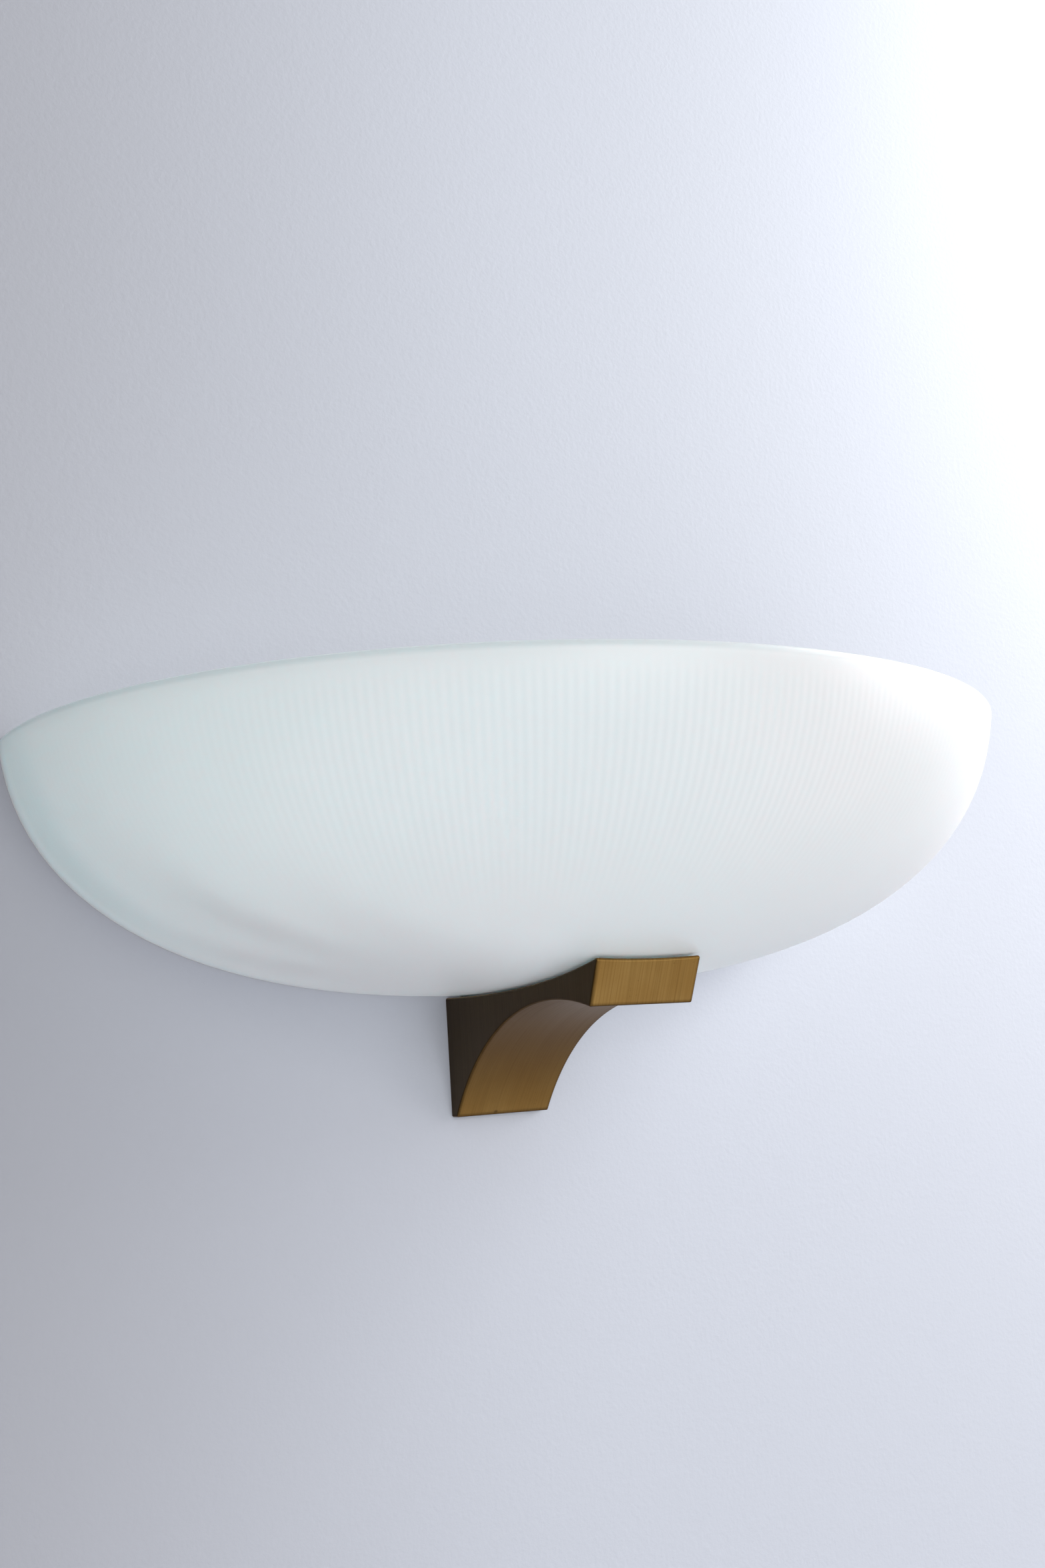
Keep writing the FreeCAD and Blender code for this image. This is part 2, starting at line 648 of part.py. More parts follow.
def bracket_casting(seat_space, roof_space):
    """Brass arm: hollow underside, leaning nose, a seat for the glass, pockets at the back."""
    centre = under_centre()
    floor_shape = Part.makeCylinder(
        value("under_radius + arm_wall"), value("arm_width * 2"),
        Vector(-value("arm_width"), centre.x, centre.y), Vector(1, 0, 0),
    )
    floor_rod = shaped("pocket_floor_rod", floor_shape)
    recess = box(
        "tongue_recess",
        ("-tongue_width / 2 - fit_gap", "tongue_width / 2 + fit_gap"),
        ("-plate_thick", "1"),
        ("-tongue_foot - fit_gap", "rim_level - bowl_height / 2"),
    )
    taps = [
        rod("casting_tap", "y", "tap_radius", ("-casting_screw_length - fit_gap", "0"), ("0", "-" + level))
        for level in ("casting_screw_top", "casting_screw_foot")
    ]
    stud_tap = rod(
        "stud_tap", "z", "stud_radius",
        (ARM_FACE_AT_STUD + " - stud_seat", "0"), ("0", "-clamp_out"),
    )
    solid = rounded_edges("arm_rounded", arm_blank(seat_space), "arm_edge")
    pockets = [arm_pocket(side, roof_space, floor_rod) for side in (1, -1)]
    return cut("bracket_casting", solid, recess, stud_tap, *taps, *pockets)


def seat_pad(seat_space, outer_space):
    """Silicone pad between the arm and the glass."""
    sheet_box = box(
        "pad_block",
        ("-arm_width / 2 + pad_inset", "arm_width / 2 - pad_inset"),
        ("-nose_foot_out + pad_inset", "-pad_back"),
        ("rim_level - bowl_height * 1.1", "rim_level - bowl_height / 2"),
    )
    layer = cut("pad_layer", common("pad_sheet", sheet_box, seat_space), outer_space)
    hole = rod(
        "pad_hole", "z", "glass_hole", ("rim_level - bowl_height * 1.1", "0"), ("0", "-clamp_out")
    )
    return cut("seat_pad", layer, hole)


# ---------------------------------------------------------------- screws


def pan_screw(name, axis, head_low, tip, centre):
    """A pan-head screw; its head stands on head_low, away from tip."""
    up = value(tip) < value(head_low)
    head_span = (head_low, head_low + " + head_height") if up else (head_low + " - head_height", head_low)
    shank_span = (tip, head_low) if up else (head_low, tip)
    return fuse(
        name,
        rod(name + "_head", axis, "head_radius", head_span, centre),
        rod(name + "_shank", axis, "tap_radius", shank_span, centre),
    )


def casting_screws():
    """Two countersunk screws that hold the arm from behind the tongue."""
    screws = []
    for level in ("casting_screw_top", "casting_screw_foot"):
        centre = ("0", "-" + level)
        head = cone(
            "casting_screw_head", "y", ("tap_radius", "head_radius"),
            ("-head_radius + tap_radius - fit_gap", "-fit_gap"), centre,
        )
        shank = rod(
            "casting_screw_shank", "y", "tap_radius", ("-casting_screw_length", "-fit_gap"), centre
        )
        screws.append(fuse("casting_screw", head, shank))
    return group("casting_screws", *screws)


# ---------------------------------------------------------------- wall plate and cable entry


def slot_tool(side):
    """A level slot for one wall screw."""
    middle = "%d * slot_pitch / 2" % side
    straight = "(slot_length / 2 - slot_radius)"
    span = ("-plate_thick - 1", "1")
    ends = [
        rod("slot_end", "y", "slot_radius", span, ("%s %s %s" % (middle, sign, straight), "0"))
        for sign in "+-"
    ]
    bar = box(
        "slot_bar",
        (middle + " - " + straight, middle + " + " + straight), span,
        ("-slot_radius", "slot_radius"),
    )
    return fuse("slot", bar, *ends)


def wall_plate():
    """Steel plate with a tongue that goes down behind the arm."""
    blank = body_pad(
        "plate_blank", "XZ_Plane",
        [
            ("-plate_width / 2", "-plate_foot"),
            ("-tongue_width / 2", "-plate_foot"),
            ("-tongue_width / 2", "-tongue_foot"),
            ("tongue_width / 2", "-tongue_foot"),
            ("tongue_width / 2", "-plate_foot"),
            ("plate_width / 2", "-plate_foot"),
            ("plate_width / 2", "plate_top"),
            ("-plate_width / 2", "plate_top"),
        ],
        "plate_thick", both_ways=False,
    )
    through_plate = ("-plate_thick - 1", "1")
    entry = rod(
        "entry_hole", "y", "entry_radius", through_plate, ("-entry_side", "entry_level")
    )
    taps = [
        rod("plate_tap", "y", "tap_radius", through_plate, ("0", "-" + level))
        for level in ("flange_screw_top", "flange_screw_foot")
    ]
    block_taps = [
        rod("block_tap", "y", "clamp_screw_radius", through_plate, (x, BLOCK_MIDDLE))
        for x in ("-pole_pitch / 2", "pole_pitch / 2")
    ]
    sinks = []
    for level in ("casting_screw_top", "casting_screw_foot"):
        centre = ("0", "-" + level)
        sinks.append(cone(
            "sink", "y", ("tap_radius", "head_radius"),
            ("-head_radius + tap_radius - fit_gap", "-fit_gap"), centre,
        ))
        sinks.append(rod("sink_mouth", "y", "head_radius", ("-fit_gap", "1"), centre))
        sinks.append(rod("sink_hole", "y", "tap_radius", through_plate, centre))
    slots = [slot_tool(side) for side in (1, -1)]
    return cut("wall_plate", blank, entry, *taps, *block_taps, *sinks, *slots)


def cable_grommet():
    """Rubber grommet for the supply cable; its lip is on the room side of the plate."""
    centre = ("-entry_side", "entry_level")
    lip_span = ("-plate_thick - grommet_lip_thick", ROOM_SIDE_OF_PLATE)
    lip = rod("grommet_lip_disc", "y", "entry_radius + grommet_lip", lip_span, centre)
    neck = rod("grommet_neck", "y", "entry_radius", (ROOM_SIDE_OF_PLATE, "0"), centre)
    bore = rod("grommet_hole", "y", "grommet_bore", ("-plate_thick * 3", "1"), centre)
    return cut("cable_grommet", fuse("grommet_solid", lip, neck), bore)


# ---------------------------------------------------------------- lamp carrier and reflector


def lamp_carrier():
    """Bent steel bracket from the wall plate out under the lamp."""
    front = "-lamp_out - carrier_reach"
    face = "(-plate_thick)"
    blank = body_pad(
        "carrier_blank", "YZ_Plane",
        [
            (face, "-carrier_foot"),
            (face, STRIP_FOOT),
            (front, STRIP_FOOT),
            (front, CARRIER_FOOT),
            (face + " - carrier_thick", CARRIER_FOOT),
            (face + " - carrier_thick", "-carrier_foot"),
        ],
        "carrier_width",
    )
    flange_taps = [
        rod("flange_hole", "y", "tap_radius", ("-plate_thick * 3", "1"), ("0", "-" + level))
        for level in ("flange_screw_top", "flange_screw_foot")
    ]
    taps = [
        rod("carrier_tap", "z", "tap_radius", ("-carrier_thick", "lamp_level"), ("0", out))
        for out in TRAY_SCREWS + ("-tag_out",)
    ]
    return cut("lamp_carrier", blank, *flange_taps, *taps)


def carrier_screws():
    tip = "0"
    head = "-plate_thick - carrier_thick"
    screws = [
        pan_screw("carrier_screw", "y", head, tip, ("0", "-" + level))
        for level in ("flange_screw_top", "flange_screw_foot")
    ]
    return group("carrier_screws", *screws)


def holder_strip():
    """Steel strip with two turned-up ears that carry the lamp holders."""
    outside = "(ear_inside + strip_thick)"
    blank = body_pad(
        "strip_blank", "XZ_Plane",
        [
            ("-" + outside, STRIP_FOOT),
            (outside, STRIP_FOOT),
            (outside, "lamp_level + ear_top"),
            ("ear_inside", "lamp_level + ear_top"),
            ("ear_inside", STRIP_TOP),
            ("-ear_inside", STRIP_TOP),
            ("-ear_inside", "lamp_level + ear_top"),
            ("-" + outside, "lamp_level + ear_top"),
        ],
        "strip_width",
    )
    blank.setExpression("Placement.Base.y", bound("-lamp_out"))
    ear_hole = rod(
        "ear_hole", "x", "boss_radius + ear_hole_gap", ("-ear_inside * 1.2", "ear_inside * 1.2"),
        ("-lamp_out", "lamp_level"),
    )
    rivet_hole = rod(
        "rivet_hole", "x", "rivet_radius", ("-ear_inside * 1.2", "ear_inside * 1.2"),
        ("-lamp_out", RIVET_LEVEL),
    )
    taps = [
        rod("strip_hole", "z", "tap_radius", ("0", "lamp_level"), ("0", out)) for out in TRAY_SCREWS
    ]
    return cut("holder_strip", blank, ear_hole, rivet_hole, *taps)


def reflector():
    """White sheet tray under the lamp that throws its light upwards."""
    floor, top = STRIP_TOP, "(%s + tray_thick + tray_rise)" % STRIP_TOP
    side = "(tray_thick * 1.25)"
    blank = body_pad(
        "tray_blank", "YZ_Plane",
        [
            ("-lamp_out - tray_floor / 2", floor),
            ("-lamp_out + tray_floor / 2", floor),
            ("-lamp_out + tray_mouth / 2", top),
            ("-lamp_out + tray_mouth / 2 - " + side, top),
            ("-lamp_out + tray_floor / 2 - %s / 2" % side, floor + " + tray_thick"),
            ("-lamp_out - tray_floor / 2 + %s / 2" % side, floor + " + tray_thick"),
            ("-lamp_out - tray_mouth / 2 + " + side, top),
            ("-lamp_out - tray_mouth / 2", top),
        ],
        "tray_length",
    )
    taps = [
        rod("tray_hole", "z", "tap_radius", ("0", "lamp_level"), ("0", out)) for out in TRAY_SCREWS
    ]
    return cut("reflector", blank, *taps)


def reflector_screws():
    head = STRIP_TOP + " + tray_thick"
    screws = [
        pan_screw("reflector_screw", "z", head, CARRIER_FOOT, ("0", out)) for out in TRAY_SCREWS
    ]
    return group("reflector_screws", *screws)


# ---------------------------------------------------------------- lamp holders and contacts


def lamp_holder_right():
    """Ceramic holder: open cradle, contact guide, spring chamber and a boss through the ear."""
    axis = ("-lamp_out", "lamp_level")
    block = box(
        "holder_block", ("holder_inside", "ear_inside"),
        ("-lamp_out - holder_width / 2", "-lamp_out + holder_width / 2"),
        ("lamp_level - holder_below", "lamp_level + holder_above"),
    )
    boss = rod("holder_boss", "x", "boss_radius", ("ear_inside", BOSS_END), axis)
    cradle_span = ("holder_inside - 1", "holder_inside + cradle_length")
    cradle = rod("cradle", "x", "cradle_radius", cradle_span, axis)
    cradle_mouth = box(
        "cradle_mouth", cradle_span,
        ("-lamp_out - cradle_radius", "-lamp_out + cradle_radius"),
        ("lamp_level", "lamp_level + holder_above + 1"),
    )
    guide = rod("contact_guide", "x", "contact_radius + run_gap", ("holder_inside", BOSS_END), axis)
    chamber = rod("spring_chamber", "x", "chamber_radius", (NOSE_STOP, BOSS_END + " + 1"), axis)
    rivet_hole = rod(
        "holder_rivet_hole", "x", "rivet_radius",
        (NOSE_STOP, "ear_inside + 1"), ("-lamp_out", RIVET_LEVEL),
    )
    whole = fuse("holder_solid", block, boss)
    return cut("lamp_holder_right", whole, cradle, cradle_mouth, guide, chamber, rivet_hole)


def contact_right():
    """Sprung plunger that presses on the lamp's end."""
    axis = ("-lamp_out", "lamp_level")
    nose = rod("contact_nose", "x", "contact_radius", ("contact_face", FLANGE_FACE), axis)
    flange = rod(
        "contact_flange", "x", "chamber_radius - run_gap",
        (FLANGE_FACE, FLANGE_FACE + " + flange_thick"), axis,
    )
    tail = rod(
        "contact_tail", "x", "spring_radius - spring_wire",
        (FLANGE_FACE, FLANGE_FACE + " + tail_length"), axis,
    )
    return fuse("contact_right", nose, flange, tail)


def biarc(start, into, end, out):
    """Two arcs from start to end that leave along into and arrive along out."""
    chord = end - start
    along = chord.dot(into + out)
    spread = 2 * (1 - into.dot(out))
    reach = (-along + math.sqrt(along * along + spread * chord.dot(chord))) / spread
    joint = (start + into * reach + end - out * reach) * 0.5
    return [tangent_arc(start, into, joint), tangent_arc(end, out * -1, joint)]


def tangent_arc(start, direction, end):
    """The arc from start to end that leaves along direction."""
    chord = end - start
    across = chord - direction * chord.dot(direction)
    radius = chord.dot(chord) / (2 * across.Length)
    centre = start + across.normalize() * radius
    middle = ((start + end) * 0.5 - centre).normalize() * radius + centre
    return Part.Arc(start, middle, end).toShape()


def contact_spring_right():
    """Open coil between the contact's flange and the end plate."""
    start = value(FLANGE_FACE + " + flange_thick + spring_wire / 2")
    end = value(BOSS_END + " - cap_plate - spring_wire / 2")
    turns, radius, wire = value("spring_turns"), value("spring_radius"), value("spring_wire")
    out, level = -value("lamp_out"), value("lamp_level")
    pitch = (end - start) / turns

    def on_coil(turn):
        angle = 2 * math.pi * turn
        return Vector(start + pitch * turn, out + radius * math.cos(angle), level + radius * math.sin(angle))

    def along_coil(turn):
        angle = 2 * math.pi * turn
        round_speed = 2 * math.pi * radius
        return Vector(pitch, -round_speed * math.sin(angle), round_speed * math.cos(angle)).normalize()

    edges = []
    quarters = round(turns * 4)
    for quarter in range(quarters):
        near, far = turns * quarter / quarters, turns * (quarter + 1) / quarters
        edges += biarc(on_coil(near), along_coil(near), on_coil(far), along_coil(far))
    section = Part.Wire(Part.makeCircle(wire / 2, on_coil(0), along_coil(0)))
    coil = Part.Wire(Part.__sortEdges__(edges)).makePipeShell([section], True, False)
    samples = [on_coil(turns * step / 400) for step in range(401)]
    apart = round(0.5 * 400 / turns)
    gap = min(
        (a - b).Length for i, a in enumerate(samples) for b in samples[i + apart:]
    ) - wire
    print("contact spring least gap to itself %.2f mm" % gap)
    return shaped("contact_spring_right", coil)


def end_plate_right():
    """Brass disc in the end of the boss: spring seat and lead terminal."""
    return rod(
        "end_plate_right", "x", "chamber_radius", (BOSS_END + " - cap_plate", BOSS_END),
        ("-lamp_out", "lamp_level"),
    )


def holder_rivet_right():
    centre = ("-lamp_out", RIVET_LEVEL)
    shank = rod("rivet_shank", "x", "rivet_radius", (NOSE_STOP, RIVET_FACE), centre)
    head = rod("rivet_head_disc", "x", "rivet_head", (RIVET_FACE, RIVET_FACE + " + rivet_rise"), centre)
    return fuse("holder_rivet_right", shank, head)


# ---------------------------------------------------------------- tube lamp


def lamp_tube():
    """Quartz tube with tapered necks and flat pinch seals."""
    axis = ("-lamp_out", "lamp_level")
    barrel = ring("barrel", "x", "tube_radius", "tube_radius - tube_wall", ("-tube_half", "tube_half"), axis)
    pieces = [barrel]
    for side in (1, -1):
        near, far = "%d * tube_half" % side, "%d * (tube_half + neck_length)" % side
        span = (near, far) if side > 0 else (far, near)
        wide, narrow = "tube_radius", "pinch_width / 2"
        radii = (wide, narrow) if side > 0 else (narrow, wide)
        pieces.append(cone("tube_neck", "x", radii, span, axis))
        end = "%d * (contact_face - end_recess - tube_wall)" % side
        pinch_span = (near, end) if side > 0 else (end, near)
        pieces.append(box(
            "pinch", pinch_span,
            ("-lamp_out - pinch_width / 2", "-lamp_out + pinch_width / 2"),
            ("lamp_level - pinch_thick / 2", "lamp_level + pinch_thick / 2"),
        ))
    return fuse("lamp_tube", *pieces)


def lamp_cap_right():
    """Ceramic cap with its contact face in a shallow recess."""
    axis = ("-lamp_out", "lamp_level")
    outer = "(contact_face + end_recess)"
    blank = rod("cap_blank", "x", "end_radius", (outer + " - end_length", outer), axis)
    recess = rod("cap_recess", "x", "end_recess_radius", ("contact_face", outer + " + 1"), axis)
    seal = box(
        "cap_slot", (outer + " - end_length - 1", "contact_face - end_recess - tube_wall"),
        ("-lamp_out - pinch_width / 2", "-lamp_out + pinch_width / 2"),
        ("lamp_level - pinch_thick / 2", "lamp_level + pinch_thick / 2"),
    )
    return cut("lamp_cap_right", blank, recess, seal)


def lamp_filament():
    """Filament with ring supports that stand on the inside of the tube."""
    axis = ("-lamp_out", "lamp_level")
    coil = rod("filament_coil", "x", "coil_radius", ("-coil_half", "coil_half"), axis)
    tails = rod("filament_tails", "x", "support_wire", ("-tube_half", "tube_half"), axis)
    supports = []
    for step in (-1, 0, 1):
        at = "%d * support_pitch" % step
        span = (at + " - support_wire", at + " + support_wire")
        supports.append(box(
            "filament_support", span,
            ("-lamp_out - support_wire", "-lamp_out + support_wire"),
            ("lamp_level - tube_radius + tube_wall", "lamp_level"),
        ))
    return fuse("lamp_filament", coil, tails, *supports)


# ---------------------------------------------------------------- terminal block, leads, earth


def terminal_block():
    """Three-pole ceramic block with screw wells towards the room."""
    block = box(
        "block_solid", ("-block_width / 2", "block_width / 2"),
        ("-plate_thick - block_depth", ROOM_SIDE_OF_PLATE),
        ("block_level", "block_level + block_height"),
    )
    tools = []
    for x in POLES:
        tools.append(rod(
            "pole_hole", "z", "pole_radius", ("block_level - 1", "block_level + block_height + 1"),
            (x, POLE_OUT),
        ))
        for level in POLE_SCREWS:
            tools.append(rod("screw_well", "y", "well_radius", (BLOCK_FACE + " - 1", POLE_OUT), (x, level)))
    for x in ("-pole_pitch / 2", "pole_pitch / 2"):
        tools.append(rod(
            "block_hole", "y", "clamp_screw_radius", (BLOCK_FACE, "1"), (x, BLOCK_MIDDLE)
        ))
        tools.append(rod(
            "block_sink", "y", "well_radius",
            (BLOCK_FACE + " - 1", BLOCK_FACE + " + head_height"), (x, BLOCK_MIDDLE),
        ))
    return cut("terminal_block", block, *tools)


def terminal_sleeves():
    sleeves = []
    for x in POLES:
        span = ("block_level + sleeve_inset", "block_level + block_height - sleeve_inset")
        tube = ring("pole_sleeve", "z", "pole_radius", "pole_bore", span, (x, POLE_OUT))
        taps = [
            rod("sleeve_tap", "y", "clamp_screw_radius", (BLOCK_FACE, POLE_OUT), (x, level))
            for level in POLE_SCREWS
        ]
        sleeves.append(cut("pole_sleeve_tapped", tube, *taps))
    return group("terminal_sleeves", *sleeves)


def terminal_screws():
    screws = []
    for x in POLES:
        for level in POLE_SCREWS:
            foot = POLE_OUT + " - pole_radius - clamp_head_gap"
            top = foot + " - clamp_head"
            head = rod("terminal_head", "y", "well_radius - fit_gap", (top, foot), (x, level))
            tip = POLE_OUT + " - pole_bore / 2"
            shank = rod("terminal_shank", "y", "clamp_screw_radius", (top, tip), (x, level))
            screws.append(fuse("terminal_screw", head, shank))
    return group("terminal_screws", *screws)


def block_screws():
    screws = []
    for x in ("-pole_pitch / 2", "pole_pitch / 2"):
        centre = (x, BLOCK_MIDDLE)
        face = BLOCK_FACE + " + head_height"
        head = rod("block_screw_head", "y", "well_radius - fit_gap", (BLOCK_FACE + " + 0.4", face), centre)
        shank = rod("block_screw_shank", "y", "clamp_screw_radius", (face, "0"), centre)
        screws.append(fuse("block_screw", head, shank))
    return group("block_screws", *screws)


def bent_tube(name, corners, radius, bend):
    """A round lead along straight runs joined by tangent arcs."""
    points = [Vector(*(value(rule) for rule in corner)) for corner in corners]
    edges = []
    start = points[0]
    for before, corner, after in zip(points, points[1:], points[2:]):
        into = (corner - before).normalize()
        out = (after - corner).normalize()
        turn = into.getAngle(out)
        room = 0.45 * min((corner - before).Length, (after - corner).Length)
        setback = min(value(bend) * math.tan(turn / 2), room)
        arc_radius = setback / math.tan(turn / 2)
        arc_start, arc_end = corner - into * setback, corner + out * setback
        chord_middle = (arc_start + arc_end) * 0.5
        inwards = (chord_middle - corner).normalize()
        centre = corner + inwards * (arc_radius / math.cos(turn / 2))
        edges.append(Part.makeLine(start, arc_start))
        edges.append(Part.Arc(arc_start, centre - inwards * arc_radius, arc_end).toShape())
        start = arc_end
        print(name, "bend radius", round(arc_radius, 2))
    edges.append(Part.makeLine(start, points[-1]))
    path = Part.Wire(edges)
    direction = points[1] - points[0]
    section = Part.Wire(Part.makeCircle(value(radius), points[0], direction))
    tube = path.makePipeShell([section], True, True)
    expected = path.Length * math.pi * value(radius) ** 2
    print(name, "volume against section times length", round(tube.Volume / expected, 4))
    return shaped(name, tube)


def live_lead():
    """From its pole along the carrier and the strip to the left holder."""
    return bent_tube(
        "live_lead",
        [
            ("-pole_pitch", POLE_OUT, "block_level + sleeve_inset"),
            ("-pole_pitch", POLE_OUT, "lead_level"),
            ("-pole_pitch", "-lamp_out", "lead_level"),
            ("-lead_end", "-lamp_out", "lead_level"),
            ("-lead_end", "-lamp_out", "lamp_level"),
            ("-" + BOSS_END, "-lamp_out", "lamp_level"),
        ],
        "lead_radius", "lead_bend",
    )


def earth_lead():
    """Short lead from the middle pole to the ring tag on the carrier."""
    return bent_tube(
        "earth_lead",
        [
            ("0", POLE_OUT, "block_level + sleeve_inset"),
            ("0", POLE_OUT, TAG_BARREL_LEVEL),
            ("0", TAG_BARREL_BACK, TAG_BARREL_LEVEL),
        ],
        "lead_radius", "lead_bend",
    )


def lead_clips():
    """Small clips that hold the leads under the strip and beside the carrier."""
    half = "clip_length / 2"
    reach = "(lead_radius + clip_wall)"
    clips = []
    for side in (1, -1):
        x = "%d * clip_side" % side
        block = box(
            "strip_clip", (x + " - " + half, x + " + " + half),
            ("-lamp_out - " + reach, "-lamp_out + " + reach),
            ("lead_level - " + reach, STRIP_FOOT),
        )
        hole = rod(
            "strip_clip_hole", "x", "lead_radius", (x + " - clip_length", x + " + clip_length"),
            ("-lamp_out", "lead_level"),
        )
        clips.append(cut("strip_clip_piece", block, hole))
        near, far = "%d * carrier_width / 2" % side, "%d * (pole_pitch + lead_radius + clip_wall)" % side
        low, high = (near, far) if side > 0 else (far, near)
        block = box(
            "carrier_clip", (low, high), ("-clip_out - " + half, "-clip_out + " + half),
            ("lead_level - " + reach, "lead_level + " + reach),
        )
        hole = rod(
            "carrier_clip_hole", "y", "lead_radius", ("-clip_out - clip_length", "-clip_out + clip_length"),
            ("%d * pole_pitch" % side, "lead_level"),
        )
        clips.append(cut("carrier_clip_piece", block, hole))
    return group("lead_clips", *clips)


def earth_tag():
    """Ring tag under the earth screw, with a barrel round the lead."""
    face = STRIP_FOOT
    centre = ("0", "-tag_out")
    disc = rod("tag_disc", "z", "tag_radius", (face, face + " + tag_thick"), centre)
    neck = box(
        "tag_neck", ("-lead_radius", "lead_radius"),
        ("-tag_out", TAG_BARREL_BACK), (face, face + " + tag_thick"),
    )
    barrel_span = (TAG_BARREL_BACK, TAG_BARREL_BACK + " + clip_length")
    barrel_centre = ("0", TAG_BARREL_LEVEL)
    barrel = rod("tag_barrel", "y", "lead_radius + tag_thick", barrel_span, barrel_centre)
    bore = rod("tag_bore", "y", "lead_radius", barrel_span, barrel_centre)
    hole = rod("tag_hole", "z", "tap_radius", (face, "lamp_level"), centre)
    return cut("earth_tag", fuse("tag_solid", disc, neck, barrel), hole, bore)


def earth_screw():
    return pan_screw("earth_screw", "z", STRIP_FOOT + " + tag_thick", CARRIER_FOOT, ("0", "-tag_out"))


# ---------------------------------------------------------------- the whole sconce


def make_sconce():
    outer_space = bowl_space("outer_space", "0")
    inner_space = bowl_space("inner_space", "glass_wall")
    seat_space = bowl_space("seat_space", "-pad_thick")
    roof_space = bowl_space("roof_space", "-pad_thick - arm_wall")
    holder = lamp_holder_right()
    contact = contact_right()
    spring = contact_spring_right()
    plate = end_plate_right()
    rivet = holder_rivet_right()
    cap = lamp_cap_right()
    live = live_lead()
    return [
        glass_bowl(), bracket_casting(seat_space, roof_space), seat_pad(seat_space, outer_space),
        clamp_stud(), glass_sleeve(), clamp_gasket(inner_space), clamp_washer(), clamp_nut(),
        wall_plate(), casting_screws(), cable_grommet(),
        lamp_carrier(), carrier_screws(), holder_strip(), reflector(), reflector_screws(),
        holder, mirrored("lamp_holder_left", holder),
        contact, mirrored("contact_left", contact),
        spring, mirrored("contact_spring_left", spring),
        group("end_plates", plate, mirrored("end_plate_left", plate)),
        group("holder_rivets", rivet, mirrored("holder_rivet_left", rivet)),
        lamp_tube(), lamp_filament(), group("lamp_caps", cap, mirrored("lamp_cap_left", cap)),
        terminal_block(), terminal_sleeves(), terminal_screws(), block_screws(),
        live, mirrored("neutral_lead", live), earth_lead(), lead_clips(), earth_tag(), earth_screw(),
    ]


def check_and_write(pieces):
    doc.recompute()
    for item in doc.Objects:
        if "Invalid" in item.State or "Error" in item.State:
            raise RuntimeError("%s failed: %s" % (item.Name, item.State))
    os.makedirs("parts", exist_ok=True)
    for item in pieces:
        shape = item.Shape
        if shape.isNull() or not shape.isValid() or not shape.Solids:
            raise RuntimeError("%s has no valid solid" % item.Label)
        print("%-22s %d solids  %9.1f mm3" % (item.Label, len(shape.Solids), shape.Volume))
    for item in pieces:
        item.Shape.exportStep("parts/%s.step" % item.Label)


check_and_write(make_sconce())
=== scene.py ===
import math

import bmesh
import bpy
from mathutils import Matrix, Vector


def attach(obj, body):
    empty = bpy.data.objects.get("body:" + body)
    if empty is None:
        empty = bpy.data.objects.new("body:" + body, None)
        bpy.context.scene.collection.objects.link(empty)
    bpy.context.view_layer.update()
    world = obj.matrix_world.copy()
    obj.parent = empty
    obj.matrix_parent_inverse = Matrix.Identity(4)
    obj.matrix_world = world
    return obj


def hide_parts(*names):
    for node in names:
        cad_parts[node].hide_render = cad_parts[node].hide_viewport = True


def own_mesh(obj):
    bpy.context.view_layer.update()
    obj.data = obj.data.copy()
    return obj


# Looks of the uplighter wall sconce: satin half bowl, brushed brass arm, tube lamp inside.
# Metres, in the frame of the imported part: wall at y = 0, room towards -y, +z up.

MM = 0.001
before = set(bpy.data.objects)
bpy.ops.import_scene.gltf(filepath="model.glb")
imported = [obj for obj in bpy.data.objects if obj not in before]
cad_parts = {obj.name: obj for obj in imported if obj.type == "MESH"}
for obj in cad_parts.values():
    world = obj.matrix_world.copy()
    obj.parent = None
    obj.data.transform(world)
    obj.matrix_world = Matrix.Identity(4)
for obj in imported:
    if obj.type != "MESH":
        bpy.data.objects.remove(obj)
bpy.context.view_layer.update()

BOWL_RADIUS = 200.0
BOWL_HEIGHT = 98.0
BOWL_AXIS_OUT = 11.3
BOWL_RISE = 17.75
BOWL_POWER = 0.8
BOWL_FLAT = 10.0
GLASS_WALL = 4.5
GLASS_BACK = 0.5
RIM_LEVEL = 50.0
RIBS_ROUND = 400
RIB_DEPTH = 0.3
STEPS_PER_RIB = 4
DOUBLINGS = 6  # one spun sector is copied and turned this often to make the whole dish
NOTCH = ((-16.5, -3.0, -60), (16.5, 5, -18))  # box cut from the back edge for the plate's tongue
HOLE_OUT, HOLE_RADIUS, HOLE_SPAN = 50, 5.5, (-60, -30)  # where the stud passes

LAMP_OUT = 78.0
LAMP_LEVEL = 27.0
SPRING_STARTS = {"right": 65.69, "left": -72.21}

ARM_HALF = 21.4
ARM_DRAFT = 0.0165
ARM_FOOT = -96.2
NOSE_FOOT = (-108.1, -55.9)
NOSE_LEAN = 0.417
UNDER_RADIUS = 93.0
UNDER_FOOT_OUT = -4.2
NICK_X, NICK_UP = -4.0, 0.8

CAMERA_AT = (-0.3144, -0.5631, -0.0606)
YAW, PITCH, ROLL = 0.535, 0.155, -0.050
LENS = 35.27


# ---------------------------------------------------------------- materials


